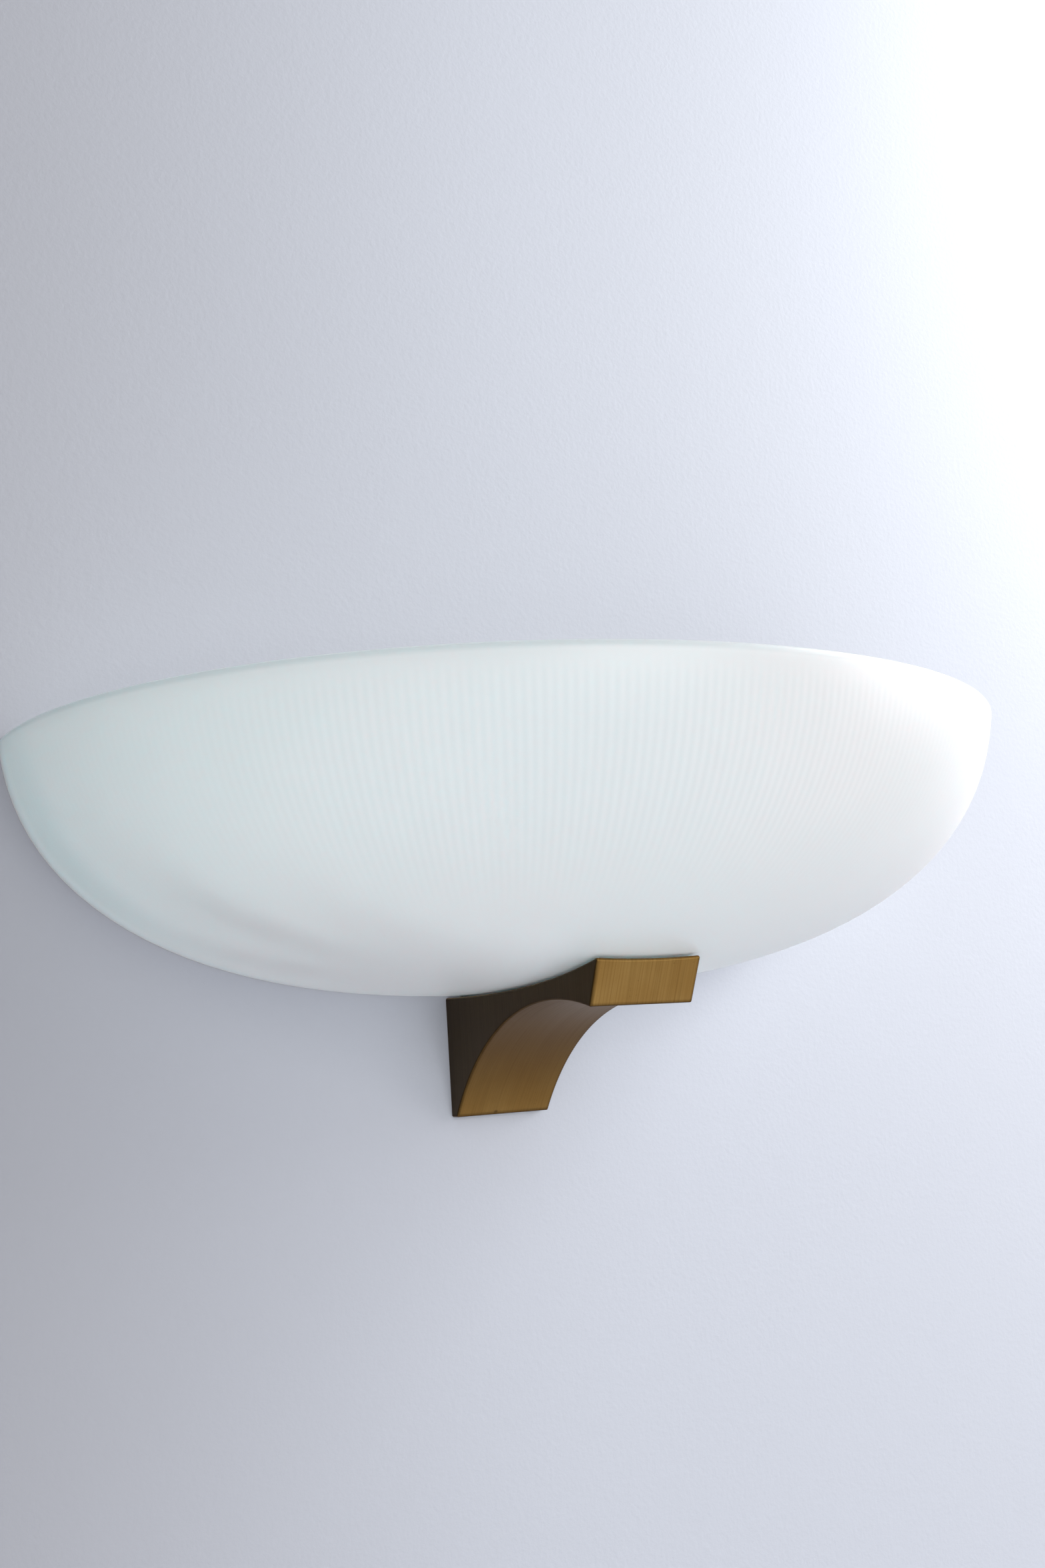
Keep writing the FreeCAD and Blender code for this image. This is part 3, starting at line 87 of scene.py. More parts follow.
class Sock:
    """A socket of a node; arithmetic on it adds Math nodes to its material."""

    def __init__(self, finish, socket):
        self.finish = finish
        self.socket = socket

    def math(self, operation, *others):
        given = dict(enumerate((self,) + others))
        return self.finish.node("ShaderNodeMath", {"operation": operation}, given)

    def __add__(self, other):
        return self.math("ADD", other)

    def __sub__(self, other):
        return self.math("SUBTRACT", other)

    def __rsub__(self, other):
        return self * -1 + other

    def __mul__(self, other):
        return self.math("MULTIPLY", other)

    def __truediv__(self, other):
        return self.math("DIVIDE", other)

    def size(self):
        return self.math("ABSOLUTE")

    def between(self, low, high):
        """0 at low, 1 at high, eased and clamped; low may be the larger one."""
        inputs = {"Value": self, "From Min": low, "From Max": high}
        return self.finish.node("ShaderNodeMapRange", {"interpolation_type": "SMOOTHSTEP"}, inputs)


class Finish:
    """A material whose nodes are added by one method."""

    def __init__(self, name, **constants):
        self.material = bpy.data.materials.new(name)
        self.material.use_nodes = True
        self.tree = self.material.node_tree
        self.shader = self.tree.nodes["Principled BSDF"]
        for socket, number in constants.items():
            self.shader.inputs[socket.replace("_", " ")].default_value = number

    def node(self, kind, settings=None, inputs=None, output=0):
        """A new node; inputs that are sockets are linked, and others are set."""
        made = self.tree.nodes.new(kind)
        for name, setting in (settings or {}).items():
            setattr(made, name, setting)
        for name, given in (inputs or {}).items():
            if isinstance(given, Sock):
                self.tree.links.new(given.socket, made.inputs[name])
            else:
                made.inputs[name].default_value = given
        return Sock(self, made.outputs[output])

    def to(self, name, sock):
        self.tree.links.new(sock.socket, self.shader.inputs[name])

    def place(self):
        return self.node("ShaderNodeTexCoord", output="Object")

    def axes(self, vector=None):
        """x, y and z of the object's own coordinates, in millimetres."""
        split = {"Vector": vector or self.place()}
        scaled = [self.node("ShaderNodeSeparateXYZ", None, split, output=i) for i in range(3)]
        return [part * 1000 for part in scaled]

    def grain(self, scale, stretch=(1, 1, 1), detail=3.0, roughness=0.5):
        """Noise from 0 to 1; scale is in cells per metre, stretch squeezes it per axis."""
        turned = self.node("ShaderNodeMapping", None, {"Vector": self.place(), "Scale": stretch})
        inputs = {"Vector": turned, "Scale": scale, "Detail": detail, "Roughness": roughness}
        return self.node("ShaderNodeTexNoise", None, inputs)

    def blend(self, factor, first, second):
        """A colour between two colours or colour sockets."""
        inputs = {0: factor, 6: first, 7: second}
        return self.node("ShaderNodeMix", {"data_type": "RGBA"}, inputs, output=2)

    def bump(self, height, distance, strength):
        """Relief of the surface; distance is the height of a full step, in metres."""
        inputs = {"Height": height, "Distance": distance, "Strength": strength}
        self.to("Normal", self.node("ShaderNodeBump", None, inputs))


def colour(red, green, blue):
    """A display colour from 0 to 255, as the shader wants it."""
    def linear(level):
        level /= 255
        return level / 12.92 if level <= 0.04045 else ((level + 0.055) / 1.055) ** 2.4
    return (linear(red), linear(green), linear(blue), 1)


def satin_glass():
    """Acid-etched white glass; its inner ribs show as soft stripes of painted shade, its ends carry
    painted shade and its cut edge painted light.
    """
    glass = Finish(
        "satin_glass", Roughness=0.36, IOR=1.45, Subsurface_Weight=1.0, Subsurface_Scale=0.012,
    )
    glass.shader.inputs["Subsurface Radius"].default_value = (0.8, 1.0, 1.0)
    x, y, z = glass.axes()
    out = (y + BOWL_AXIS_OUT) * -1
    turn = x.math("ARCTAN2", out)
    wave = (turn * RIBS_ROUND).math("COSINE")
    radius = (x * x + out * out).math("SQRT")
    height = z.between(-32.0, 12.0)
    ends = (turn + 0.28).size().between(0.85, 0.20) * 0.80 + 0.20
    cloud = glass.grain(14.0, detail=2.0)
    off_rim = z.between(47.0, 36.0)
    # Painted shade: soft dark stripes where the inner ribs show through, fading downwards, towards
    # the ends and near the rim.
    painted_rib_shade = (wave * 0.5 + 0.5) * height * ends * off_rim * (cloud * 0.6 + 0.7)
    milk = glass.grain(9.0, detail=2.0).between(0.3, 0.75)
    body = glass.blend(milk, colour(241, 247, 249), colour(247, 251, 252))
    # Painted shade: a grey-green band inside the ends of the bowl near the wall, stronger lower
    # down.
    wall_shade_mask = y.between(-46.0, -24.0) * y.between(-6.0, -16.0) * radius.between(110.0, 180.0)
    painted_wall_shade = wall_shade_mask * (z.between(40.0, 5.0) * 0.5 + 0.5) * 0.34
    body = glass.blend(painted_wall_shade, body, colour(203, 213, 210))
    # Painted light: a pale bluish band within about 13 mm of the wall and a near-white strip at the
    # cut edge stand for light shining through the cut edge.
    edge_light_band = y.between(-13.0, -5.0) * radius.between(40.0, 120.0)
    body = glass.blend(edge_light_band * 0.5, body, colour(232, 243, 254))
    painted_cut_edge_glow = y.between(-2.6, -1.2)
    body = glass.blend(painted_cut_edge_glow, body, colour(252, 254, 255))
    lip = z.between(47.0, 48.8) * 0.38
    body = glass.blend(lip, body, colour(203, 211, 213))
    body = glass.blend(painted_rib_shade * 0.15, body, colour(203, 213, 214))
    glass.to("Base Color", body)
    etched = glass.grain(2600.0, detail=2.0)
    glass.to("Roughness", etched * 0.10 + 0.34)
    glass.bump(etched, 0.00001, 0.5)
    return glass.material


def antique_brass():
    """Vertically brushed brass, darkened, lacquered, with painted shade on its sides, underside,
    up-facing front and along its edges.
    """
    brass = Finish("antique_brass", Metallic=1.0, Roughness=0.42)
    x, y, z = brass.axes()
    facing = brass.node("ShaderNodeNewGeometry", output="Normal")
    sideways = brass.axes(facing)[0].size() / 1000
    on_side = sideways.between(0.5, 0.9)
    front_lines = brass.grain(1.0, (2200, 22, 22), detail=4.0)
    side_lines = brass.grain(1.0, (22, 2200, 22), detail=4.0)
    lines = front_lines + (side_lines - front_lines) * on_side
    broad = brass.grain(1.0, (260, 9, 9), detail=3.0)
    cloud = brass.grain(42.0, detail=5.0)
    base = brass.blend(cloud.between(0.3, 0.7), colour(198, 153, 85), colour(214, 171, 101))
    base = brass.blend(lines.between(0.35, 0.75) * 0.42, base, colour(140, 104, 54))
    base = brass.blend(broad.between(0.45, 0.8) * 0.22, base, colour(214, 174, 104))
    # Painted shade: the down-facing front faces are darkened to dark brown.
    underside_shade = brass.axes(facing)[2].between(100.0, -900.0) * on_side.between(1.0, 0.0)
    # Painted shade: the side faces are darkened almost to black-brown.
    base = brass.blend(on_side * 0.95, base, colour(40, 27, 8))
    base = brass.blend(underside_shade * 0.92, base, colour(88, 60, 23))
    half = (z - ARM_FOOT) * ARM_DRAFT + ARM_HALF
    to_side = half - x.size()
    nose = (z - NOSE_FOOT[1]) * NOSE_LEAN - NOSE_FOOT[0]
    to_nose = y + nose
    centre_y, centre_z = under_centre()
    across, up = y - centre_y, z - centre_z
    to_under = (across * across + up * up).math("SQRT") - UNDER_RADIUS
    to_foot = z - ARM_FOOT
    # Painted shade: a patchy dark line along the casting's edges and foot and over its up-facing
    # front faces; the dark spot at the nick in the foot is a real dent.
    patchy_edge_shade = brass.grain(160.0, detail=3.0) * 1.4 + 0.3
    on_front = 1 - on_side
    front_edge = to_side.between(1.5, 0.3) * on_front
    nearest = to_under.math("MINIMUM", to_nose).math("MINIMUM", to_foot)
    side_edge = nearest.between(1.4, 0.2) * on_side
    edge = (front_edge + side_edge) * patchy_edge_shade
    low_edge = to_nose.math("MAXIMUM", to_under).between(1.8, 0.4) * on_front
    foot_edge = to_foot.between(1.6, 0.3) * on_front
    edge = (edge + low_edge * 0.8 + foot_edge * 0.9).math("MINIMUM", 1.0)
    nick_x, nick_z = x - NICK_X, z - (ARM_FOOT + NICK_UP)
    nick = (nick_x * nick_x + nick_z * nick_z * 1.6).math("SQRT").between(1.5, 0.5)
    top_facing_shade = brass.axes(facing)[2].between(-250.0, 150.0) * on_front
    edge = edge.math("MAXIMUM", nick).math("MAXIMUM", top_facing_shade)
    base = brass.blend(edge * 0.62, base, colour(66, 46, 22))
    specks = brass.grain(900.0, detail=2.0).between(0.70, 0.78)
    base = brass.blend(specks * 0.4, base, colour(84, 60, 30))
    brass.to("Base Color", base)
    brass.to("Roughness", lines * 0.16 + cloud * 0.10 + edge * 0.12 + 0.29)
    brass.bump(lines - nick * 6, 0.00004, 0.35)
    return brass.material


def under_centre():
    """Centre of the arm's hollow underside, as (y, z)."""
    foot, nose = Vector((UNDER_FOOT_OUT, ARM_FOOT)), Vector(NOSE_FOOT)
    chord = nose - foot
    below = math.sqrt(UNDER_RADIUS ** 2 - chord.length_squared / 4)
    side = Vector((-chord.y, chord.x)).normalized()
    return (foot + nose) / 2 + side * below


def plated_steel(name="zinc_steel", tint=(176, 178, 180)):
    """Bright plated steel with fine rolling lines and dull clouds."""
    steel = Finish(name, Metallic=1.0)
    lines = steel.grain(1.0, (90, 1600, 1600), detail=3.0)
    cloud = steel.grain(110.0, detail=4.0)
    paler = tuple(min(255, level + 26) for level in tint)
    base = steel.blend(cloud.between(0.3, 0.7), colour(*tint), colour(*paler))
    steel.to("Base Color", base)
    steel.to("Roughness", lines * 0.14 + cloud * 0.16 + 0.20)
    steel.bump(lines, 0.00002, 0.4)
    return steel.material


def enamel(name, tint, rough):
    """Baked white paint with a faint orange-peel skin."""
    paint = Finish(name, Coat_Weight=0.25, Coat_Roughness=0.25)
    peel = paint.grain(900.0, detail=2.0)
    cloud = paint.grain(22.0, detail=4.0)
    dull = tuple(level - 10 for level in tint)
    paint.to("Base Color", paint.blend(cloud.between(0.35, 0.7), colour(*tint), colour(*dull)))
    paint.to("Roughness", peel * 0.08 + cloud * 0.12 + rough)
    paint.bump(peel, 0.00003, 0.5)
    return paint.material


def steatite():
    """Unglazed cream ceramic with a pressed, slightly grainy skin."""
    clay = Finish("steatite", Specular_IOR_Level=0.35)
    grit = clay.grain(1900.0, detail=3.0)
    cloud = clay.grain(70.0, detail=4.0)
    base = clay.blend(cloud.between(0.3, 0.7), colour(231, 226, 212), colour(219, 213, 197))
    base = clay.blend(grit.between(0.62, 0.75) * 0.35, base, colour(190, 182, 162))
    clay.to("Base Color", base)
    clay.to("Roughness", grit * 0.2 + 0.52)
    clay.bump(grit, 0.00004, 0.5)
    return clay.material


def quartz():
    """Clear quartz with faint drawn streaks."""
    clear = Finish("quartz", Transmission_Weight=1.0, IOR=1.46)
    streak = clear.grain(1.0, (30, 900, 900), detail=2.0)
    clear.to("Base Color", clear.blend(streak, colour(247, 249, 250), colour(240, 244, 246)))
    clear.to("Roughness", streak * 0.05 + 0.02)
    return clear.material


def turned_brass():
    """Plain turned brass with fine rings."""
    brass = Finish("turned_brass", Metallic=1.0)
    rings = brass.grain(1.0, (1500, 1500, 1500), detail=3.0)
    cloud = brass.grain(130.0, detail=4.0)
    base = brass.blend(cloud.between(0.3, 0.7), colour(205, 170, 96), colour(186, 150, 80))
    brass.to("Base Color", base)
    brass.to("Roughness", rings * 0.14 + cloud * 0.12 + 0.18)
    brass.bump(rings, 0.00001, 0.4)
    return brass.material


def moulded(name, tint, rough, clear=0.0):
    """Moulded rubber, silicone or nylon with a fine matt skin."""
    skin = Finish(name, Transmission_Weight=clear, IOR=1.42)
    pores = skin.grain(1400.0, detail=2.0)
    cloud = skin.grain(60.0, detail=3.0)
    dull = tuple(max(0, level - 9) for level in tint)
    skin.to("Base Color", skin.blend(cloud.between(0.3, 0.7), colour(*tint), colour(*dull)))
    skin.to("Roughness", pores * 0.14 + rough)
    skin.bump(pores, 0.00003, 0.5)
    return skin.material


def braided(name, first, second=None, strands=12):
    """Braided glass-fibre sleeve; the pattern follows the lead's own UV map."""
    sleeve = Finish(name, Specular_IOR_Level=0.3)
    along = sleeve.node("ShaderNodeUVMap", {"uv_map": "lead"})
    u, v, _ = [part / 1000 for part in sleeve.axes(along)]
    left = ((u * 3.2 + v * strands) * math.tau).math("SINE")
    right = ((u * 3.2 - v * strands) * math.tau).math("SINE")
    weave = left.math("MAXIMUM", right) * 0.5 + 0.5
    thread = sleeve.grain(2600.0, detail=2.0)
    shaded = colour(*(level * 0.62 for level in first))
    base = sleeve.blend(weave.between(0.15, 0.85), shaded, colour(*first))
    if second:
        spiral = ((u * 0.5 + v) * math.tau).math("SINE").between(-0.15, 0.15)
        base = sleeve.blend(spiral * (weave * 0.3 + 0.7), base, colour(*second))
    sleeve.to("Base Color", base)
    sleeve.to("Roughness", thread * 0.15 + 0.66)
    sleeve.bump(weave + thread * 0.3, 0.0001, 0.6)
    return sleeve.material


def tungsten():
    """Grey drawn wire."""
    wire = Finish("tungsten", Metallic=1.0)
    drawn = wire.grain(2500.0, detail=2.0)
    wire.to("Base Color", wire.blend(drawn, colour(120, 120, 126), colour(150, 150, 152)))
    wire.to("Roughness", drawn * 0.2 + 0.28)
    return wire.material


# ---------------------------------------------------------------- pieces


def finished(name, mesh_maker, material, sharp=math.radians(35)):
    """An object at the origin from a bmesh, smooth apart from its sharp edges."""
    mesh = bpy.data.meshes.new(name)
    mesh_maker.to_mesh(mesh)
    mesh_maker.free()
    mesh.shade_smooth()
    mesh.set_sharp_from_angle(angle=sharp)
    mesh.materials.append(material)
    piece = bpy.data.objects.new(name, mesh)
    bpy.context.scene.collection.objects.link(piece)
    return piece


def carved(piece, *cutters):
    """The piece less its cutters, which are removed."""
    for cutter in cutters:
        cut = piece.modifiers.new("cut", "BOOLEAN")
        cut.operation = "DIFFERENCE"
        cut.solver = "MANIFOLD"
        cut.object = cutter
    bpy.context.view_layer.update()
    seen = piece.evaluated_get(bpy.context.evaluated_depsgraph_get())
    mesh = bpy.data.meshes.new_from_object(seen)
    piece.modifiers.clear()
    piece.data = mesh
    for cutter in cutters:
        bpy.data.objects.remove(cutter)
    return piece


def cutting_tool(name, form):
    """A plain object from a bmesh, which a cut uses up."""
    mesh = bpy.data.meshes.new(name)
    form.to_mesh(mesh)
    form.free()
    tool = bpy.data.objects.new(name, mesh)
    bpy.context.scene.collection.objects.link(tool)
    return tool


def block(name, low, high):
    """A plain box between two corners in millimetres, used as a cutter."""
    form = bmesh.new()
    middle = [(a + b) / 2 * MM for a, b in zip(low, high)]
    spans = [(b - a) * MM for a, b in zip(low, high)]
    shape = Matrix.Translation(middle) @ Matrix.Diagonal(spans + [1])
    bmesh.ops.create_cube(form, size=1.0, matrix=shape)
    return cutting_tool(name, form)


def drill(name, centre, radius, low, high):
    """A plain upright cylinder in millimetres, used as a cutter."""
    form = bmesh.new()
    at = Vector((centre[0], centre[1], (low + high) / 2)) * MM
    bmesh.ops.create_cone(
        form, cap_ends=True, segments=48, radius1=radius * MM, radius2=radius * MM,
        depth=(high - low) * MM, matrix=Matrix.Translation(at),
    )
    return cutting_tool(name, form)


def bowl_curve(inset, steps):
    """Distance from the axis and height over the rim along the bowl, rim to flat spot."""
    deep = BOWL_HEIGHT + BOWL_RISE
    rim = math.asin((BOWL_RISE / deep) ** (1 / BOWL_POWER))
    wide = BOWL_RADIUS / math.cos(rim) ** BOWL_POWER
    start = math.asin(((BOWL_RISE + GLASS_WALL / 2) / deep) ** (1 / BOWL_POWER))
    finish = math.acos((BOWL_FLAT / wide) ** (1 / BOWL_POWER))
    points = []
    for step in range(steps + 1):
        turn = start + (finish - start) * step / steps
        u = wide * math.cos(turn) ** BOWL_POWER
        w = BOWL_RISE - deep * math.sin(turn) ** BOWL_POWER
        du = wide * math.cos(turn) ** (BOWL_POWER - 1) * math.sin(turn)
        dw = deep * math.sin(turn) ** (BOWL_POWER - 1) * math.cos(turn)
        slope = math.hypot(du, dw)
        points.append(Vector((u - inset * dw / slope, 0, w + inset * du / slope)))
    return points


def satin_bowl(material):
    """The glass: a spun profile, ribbed inside, cut at the wall, with a fire-polished lip."""
    steps = 26
    outer, inner = bowl_curve(0, steps), bowl_curve(GLASS_WALL, steps)
    middle = (outer[0] + inner[0]) / 2
    across = (outer[0] - inner[0]) / 2
    upwards = Vector((-across.z, 0, across.x))
    lip = []
    for part in range(1, 7):
        turn = math.pi * part / 7
        lip.append(middle + across * math.cos(turn) + upwards * math.sin(turn))
    foot, floor = Vector((0, 0, outer[-1].z)), Vector((0, 0, inner[-1].z))
    form = bmesh.new()
    depth = form.verts.layers.float.new("rib_depth")
    line = []
    for point in [foot] + outer[::-1] + lip + inner + [floor]:
        at = Vector((point.x, -BOWL_AXIS_OUT, point.z + RIM_LEVEL)) * MM
        line.append(form.verts.new(at))
    for index, point in enumerate(inner):
        fade = smooth_step(point.z, -90, -45) * smooth_step(point.z, -2, -9)
        line[1 + len(outer) + len(lip) + index][depth] = RIB_DEPTH * fade
    edges = [form.edges.new(pair) for pair in zip(line, line[1:])]
    axis_at = Vector((0, -BOWL_AXIS_OUT, 0)) * MM
    sector = math.tau / 2 ** DOUBLINGS
    bmesh.ops.spin(
        form, geom=line + edges, cent=axis_at, axis=(0, 0, 1), angle=sector,
        steps=RIBS_ROUND * STEPS_PER_RIB // 2 ** DOUBLINGS,
    )
    for doubling in range(DOUBLINGS):
        copied = bmesh.ops.duplicate(form, geom=form.verts[:] + form.edges[:] + form.faces[:])
        moved = [part for part in copied["geom"] if isinstance(part, bmesh.types.BMVert)]
        turned = Matrix.Rotation(sector * 2 ** doubling, 3, "Z")
        bmesh.ops.rotate(form, verts=moved, cent=axis_at, matrix=turned)
    bmesh.ops.remove_doubles(form, verts=form.verts, dist=0.000005)
    for vert in form.verts:
        if vert[depth] > 0:
            arm = vert.co - axis_at
            turn = math.atan2(arm.x, -arm.y)
            outwards = Vector((arm.x, arm.y, 0)).normalized()
            vert.co += outwards * vert[depth] * MM * 0.5 * math.cos(RIBS_ROUND * turn)
    cut = bmesh.ops.bisect_plane(
        form, geom=form.verts[:] + form.edges[:] + form.faces[:], dist=1e-7,
        plane_co=(0, -GLASS_BACK * MM, 0), plane_no=(0, 1, 0), clear_outer=True,
    )
    rim_edges = [part for part in cut["geom_cut"] if isinstance(part, bmesh.types.BMEdge)]
    bmesh.ops.triangle_fill(
        form, use_beauty=True, use_dissolve=False, edges=rim_edges, normal=(0, 1, 0),
    )
    bmesh.ops.recalc_face_normals(form, faces=form.faces)
    bowl = finished("satin_bowl", form, material, math.radians(50))
    notch = block("notch", *NOTCH)
    hole = drill("hole", (0, -HOLE_OUT), HOLE_RADIUS, *HOLE_SPAN)
    return carved(bowl, notch, hole)


def smooth_step(value, low, high):
    """0 at low, 1 at high, eased and clamped; low may be the larger one."""
    share = max(0.0, min(1.0, (value - low) / (high - low)))
    return share * share * (3 - 2 * share)


def coil(name, material, low, turns, radius, wire, length, sides=8, steps=24):
    """A wire wound about a line along x, from low, all in millimetres."""
    form = bmesh.new()
    start = Vector((low, -LAMP_OUT + radius, LAMP_LEVEL)) * MM
    turned = Matrix.Translation(start) @ Matrix.Rotation(math.radians(90), 4, "X")
    section = bmesh.ops.create_circle(form, segments=sides, radius=wire / 2 * MM, matrix=turned)
    upright = Matrix.Rotation(math.pi / 2, 3, "X")
    pitched = Matrix.Rotation(math.atan2(length / turns, math.tau * radius), 4, "Y").to_3x3()
    for matrix in (upright, pitched):
        bmesh.ops.rotate(form, verts=section["verts"], cent=start, matrix=matrix)
    count = int(turns * steps)
    centre = Vector((low, -LAMP_OUT, LAMP_LEVEL)) * MM
    travel = Vector((length / count * MM, 0, 0))
    geom = form.verts[:] + form.edges[:]
    first = form.edges[:]
    spun = bmesh.ops.spin(
        form, geom=geom, cent=centre, axis=(1, 0, 0), dvec=travel, angle=math.tau * turns,
        steps=count,
    )
    last = [part for part in spun["geom_last"] if isinstance(part, bmesh.types.BMEdge)]
    for loop in (first, last):
        bmesh.ops.contextual_create(form, geom=loop)
    bmesh.ops.recalc_face_normals(form, faces=form.faces)
    return finished(name, form, material)


def lead(name, corners, material):
    """A sleeved lead on one smooth curve through its route, in millimetres."""
    curve = bpy.data.curves.new(name, "CURVE")
    curve.dimensions = "3D"
    line = curve.splines.new("NURBS")
    line.points.add(len(corners) - 1)
    for point, corner in zip(line.points, corners):
        point.co = (*(part * MM for part in corner), 1)
    line.order_u = 3
    line.use_endpoint_u = True
    line.resolution_u = 14
    curve.bevel_depth = 1.1 * MM
    curve.bevel_resolution = 5
    curve.use_fill_caps = True
    maker = bpy.data.objects.new(name + "_route", curve)
    bpy.context.scene.collection.objects.link(maker)
    bpy.context.view_layer.update()
    seen = maker.evaluated_get(bpy.context.evaluated_depsgraph_get())
    mesh = bpy.data.meshes.new_from_object(seen)
    bpy.data.objects.remove(maker)
    mesh.name = name
    mesh.materials.clear()
    mesh.materials.append(material)
    measure_along(mesh, [Vector(corner) for corner in corners])
    form = bmesh.new()
    form.from_mesh(mesh)
    bmesh.ops.remove_doubles(form, verts=form.verts, dist=0.001 * MM)
    bmesh.ops.recalc_face_normals(form, faces=form.faces)
    form.to_mesh(mesh)
    form.free()
    mesh.shade_smooth()
    piece = bpy.data.objects.new(name, mesh)
    bpy.context.scene.collection.objects.link(piece)
    return piece


def measure_along(mesh, corners):
    """A UV map in which u runs with the lead in millimetres and v once round it."""
    while len(mesh.uv_layers) > 1:
        mesh.uv_layers.remove(mesh.uv_layers[-1])
    if not mesh.uv_layers:
        mesh.uv_layers.new(name="lead")
    mesh.uv_layers[0].name = "lead"
    length = sum((b - a).length for a, b in zip(corners, corners[1:]))
    across = max(item.uv[1] for item in mesh.uv_layers[0].data)
    along = max(item.uv[0] for item in mesh.uv_layers[0].data)
    for item in mesh.uv_layers[0].data:
        u, v = item.uv[0] / max(along, 1e-6), item.uv[1] / max(across, 1e-6)
        item.uv = (u * length / 4, v) if along >= across else (v * length / 4, u)


def pan_screw(radius, height, shank, cross):
    """A screw whose pan head stands on z = 0, with a slot or a cross in its top, in millimetres."""
    form = bmesh.new()
    bmesh.ops.create_cone(
        form, cap_ends=True, segments=40, radius1=radius * MM, radius2=radius * MM,
        depth=height * MM, matrix=Matrix.Translation((0, 0, height / 2 * MM)),
    )
    top = [edge for edge in form.edges if all(v.co.z > height * 0.99 * MM for v in edge.verts)]
    bmesh.ops.bevel(
        form, geom=top, offset=height * 0.42 * MM, offset_type="OFFSET", segments=4,
        profile=0.5, affect="EDGES", material=-1,
    )
    head = finished("head", form, None)
    wide, deep, long = radius * 0.12, height * 0.45, radius * (0.62 if cross else 1.2)
    cutters = [block("slot_a", (-long, -wide, height - deep), (long, wide, height + 1))]
    if cross:
        cutters.append(block("slot_b", (-wide, -long, height - deep), (wide, long, height + 1)))
    whole = carved(head, *cutters)
    form = bmesh.new()
    shank_radius, shank_length = shank
    bmesh.ops.create_cone(
        form, cap_ends=True, segments=24, radius1=shank_radius * MM, radius2=shank_radius * MM,
        depth=shank_length * MM, matrix=Matrix.Translation((0, 0, -shank_length / 2 * MM)),
    )
    form.from_mesh(whole.data)
    form.to_mesh(whole.data)
    form.free()
    return whole


def screws(name, material, heads, along, radius, height, shank, cross=True):
    """Screws whose heads stand on the given points, look along a direction and are turned apart."""
    turns = (0.4, 1.3, 2.2)
    master = pan_screw(radius, height, shank, cross)
    form = bmesh.new()
    facing = Vector(along).to_track_quat("Z", "Y").to_matrix().to_4x4()
    for number, at in enumerate(heads):
        spun = Matrix.Rotation(turns[number % len(turns)], 4, "Z")
        copy = master.data.copy()
        copy.transform(Matrix.Translation(Vector(at) * MM) @ facing @ spun)
        form.from_mesh(copy)
    bpy.data.objects.remove(master)
    return finished(name, form, material)


def pressed(name, node, material, round_off):
    """A silicone piece in the form its seat gives it, with its moulded edges rounded."""
    form = bmesh.new()
    form.from_mesh(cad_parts[node].data)
    bmesh.ops.remove_doubles(form, verts=form.verts, dist=0.001 * MM)
    bmesh.ops.dissolve_limit(form, angle_limit=math.radians(1), verts=form.verts, edges=form.edges)
    sharp = [edge for edge in form.edges if edge.calc_face_angle(0) > math.radians(40)]
    bmesh.ops.bevel(
        form, geom=sharp, offset=round_off * MM, offset_type="OFFSET", segments=2,
        profile=0.5, affect="EDGES", material=-1, clamp_overlap=True,
    )
    bmesh.ops.recalc_face_normals(form, faces=form.faces)
    return finished(name, form, material, math.radians(50))


# ---------------------------------------------------------------- the sconce

zinc = plated_steel()
steel = plated_steel("spring_steel", (158, 158, 160))
cream = steatite()
yellow = turned_brass()
silicone = moulded("silicone", (222, 225, 226), 0.42, clear=0.35)
white_paint = enamel("white_enamel", (226, 226, 220), 0.30)
reflector_paint = enamel("reflector_enamel", (240, 240, 236), 0.24)

CAD_FINISHES = {
    "bracket_casting": antique_brass(),
    "clamp_stud": zinc,
    "clamp_washer": zinc,
    "clamp_nut": yellow,
    "wall_plate": white_paint,
    "cable_grommet": moulded("grey_rubber", (62, 62, 65), 0.55),
    "lamp_carrier": white_paint,
    "holder_strip": zinc,
    "reflector": reflector_paint,
    "lamp_holder_right": cream,
    "lamp_holder_left": cream,
    "contact_right": yellow,
    "contact_left": yellow,
    "end_plates": yellow,
    "holder_rivets": zinc,
    "lamp_tube": quartz(),
    "lamp_caps": cream,
    "terminal_block": cream,
    "terminal_sleeves": yellow,
    "casting_screws": zinc,
    "lead_clips": moulded("nylon", (223, 220, 208), 0.45),
    "earth_tag": yellow,
}
for node, finish in CAD_FINISHES.items():
    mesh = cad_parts[node].data
    mesh.materials.clear()
    mesh.materials.append(finish)


def stands_for(piece, node, body="fixture"):
    """Shows the piece on its body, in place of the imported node."""
    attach(piece, body)
    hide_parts(node)


stands_for(satin_bowl(satin_glass()), "glass_bowl")
stands_for(pressed("moulded_pad", "seat_pad", silicone, 0.3), "seat_pad")
stands_for(pressed("moulded_sleeve", "glass_sleeve", silicone, 0.2), "glass_sleeve")
stands_for(pressed("moulded_gasket", "clamp_gasket", silicone, 0.3), "clamp_gasket")
filament = coil(
    "filament_coil", tungsten(), -33.0, turns=60, radius=0.8, wire=0.2, length=66.0,
    sides=6, steps=14,
)
stands_for(filament, "lamp_filament")

for side, hand in ((1, "right"), (-1, "left")):
    low = SPRING_STARTS[hand]
    spring = coil("coil_spring_" + hand, steel, low, turns=5, radius=2.5, wire=0.5, length=6.52)
    stands_for(spring, "contact_spring_" + hand)
    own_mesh(spring)

TO_ROOM, UPWARDS = (0, -1, 0), (0, 0, 1)
clamp_spots = [(x, -12.3, z) for x in (-12, 0, 12) for z in (16, 25)]
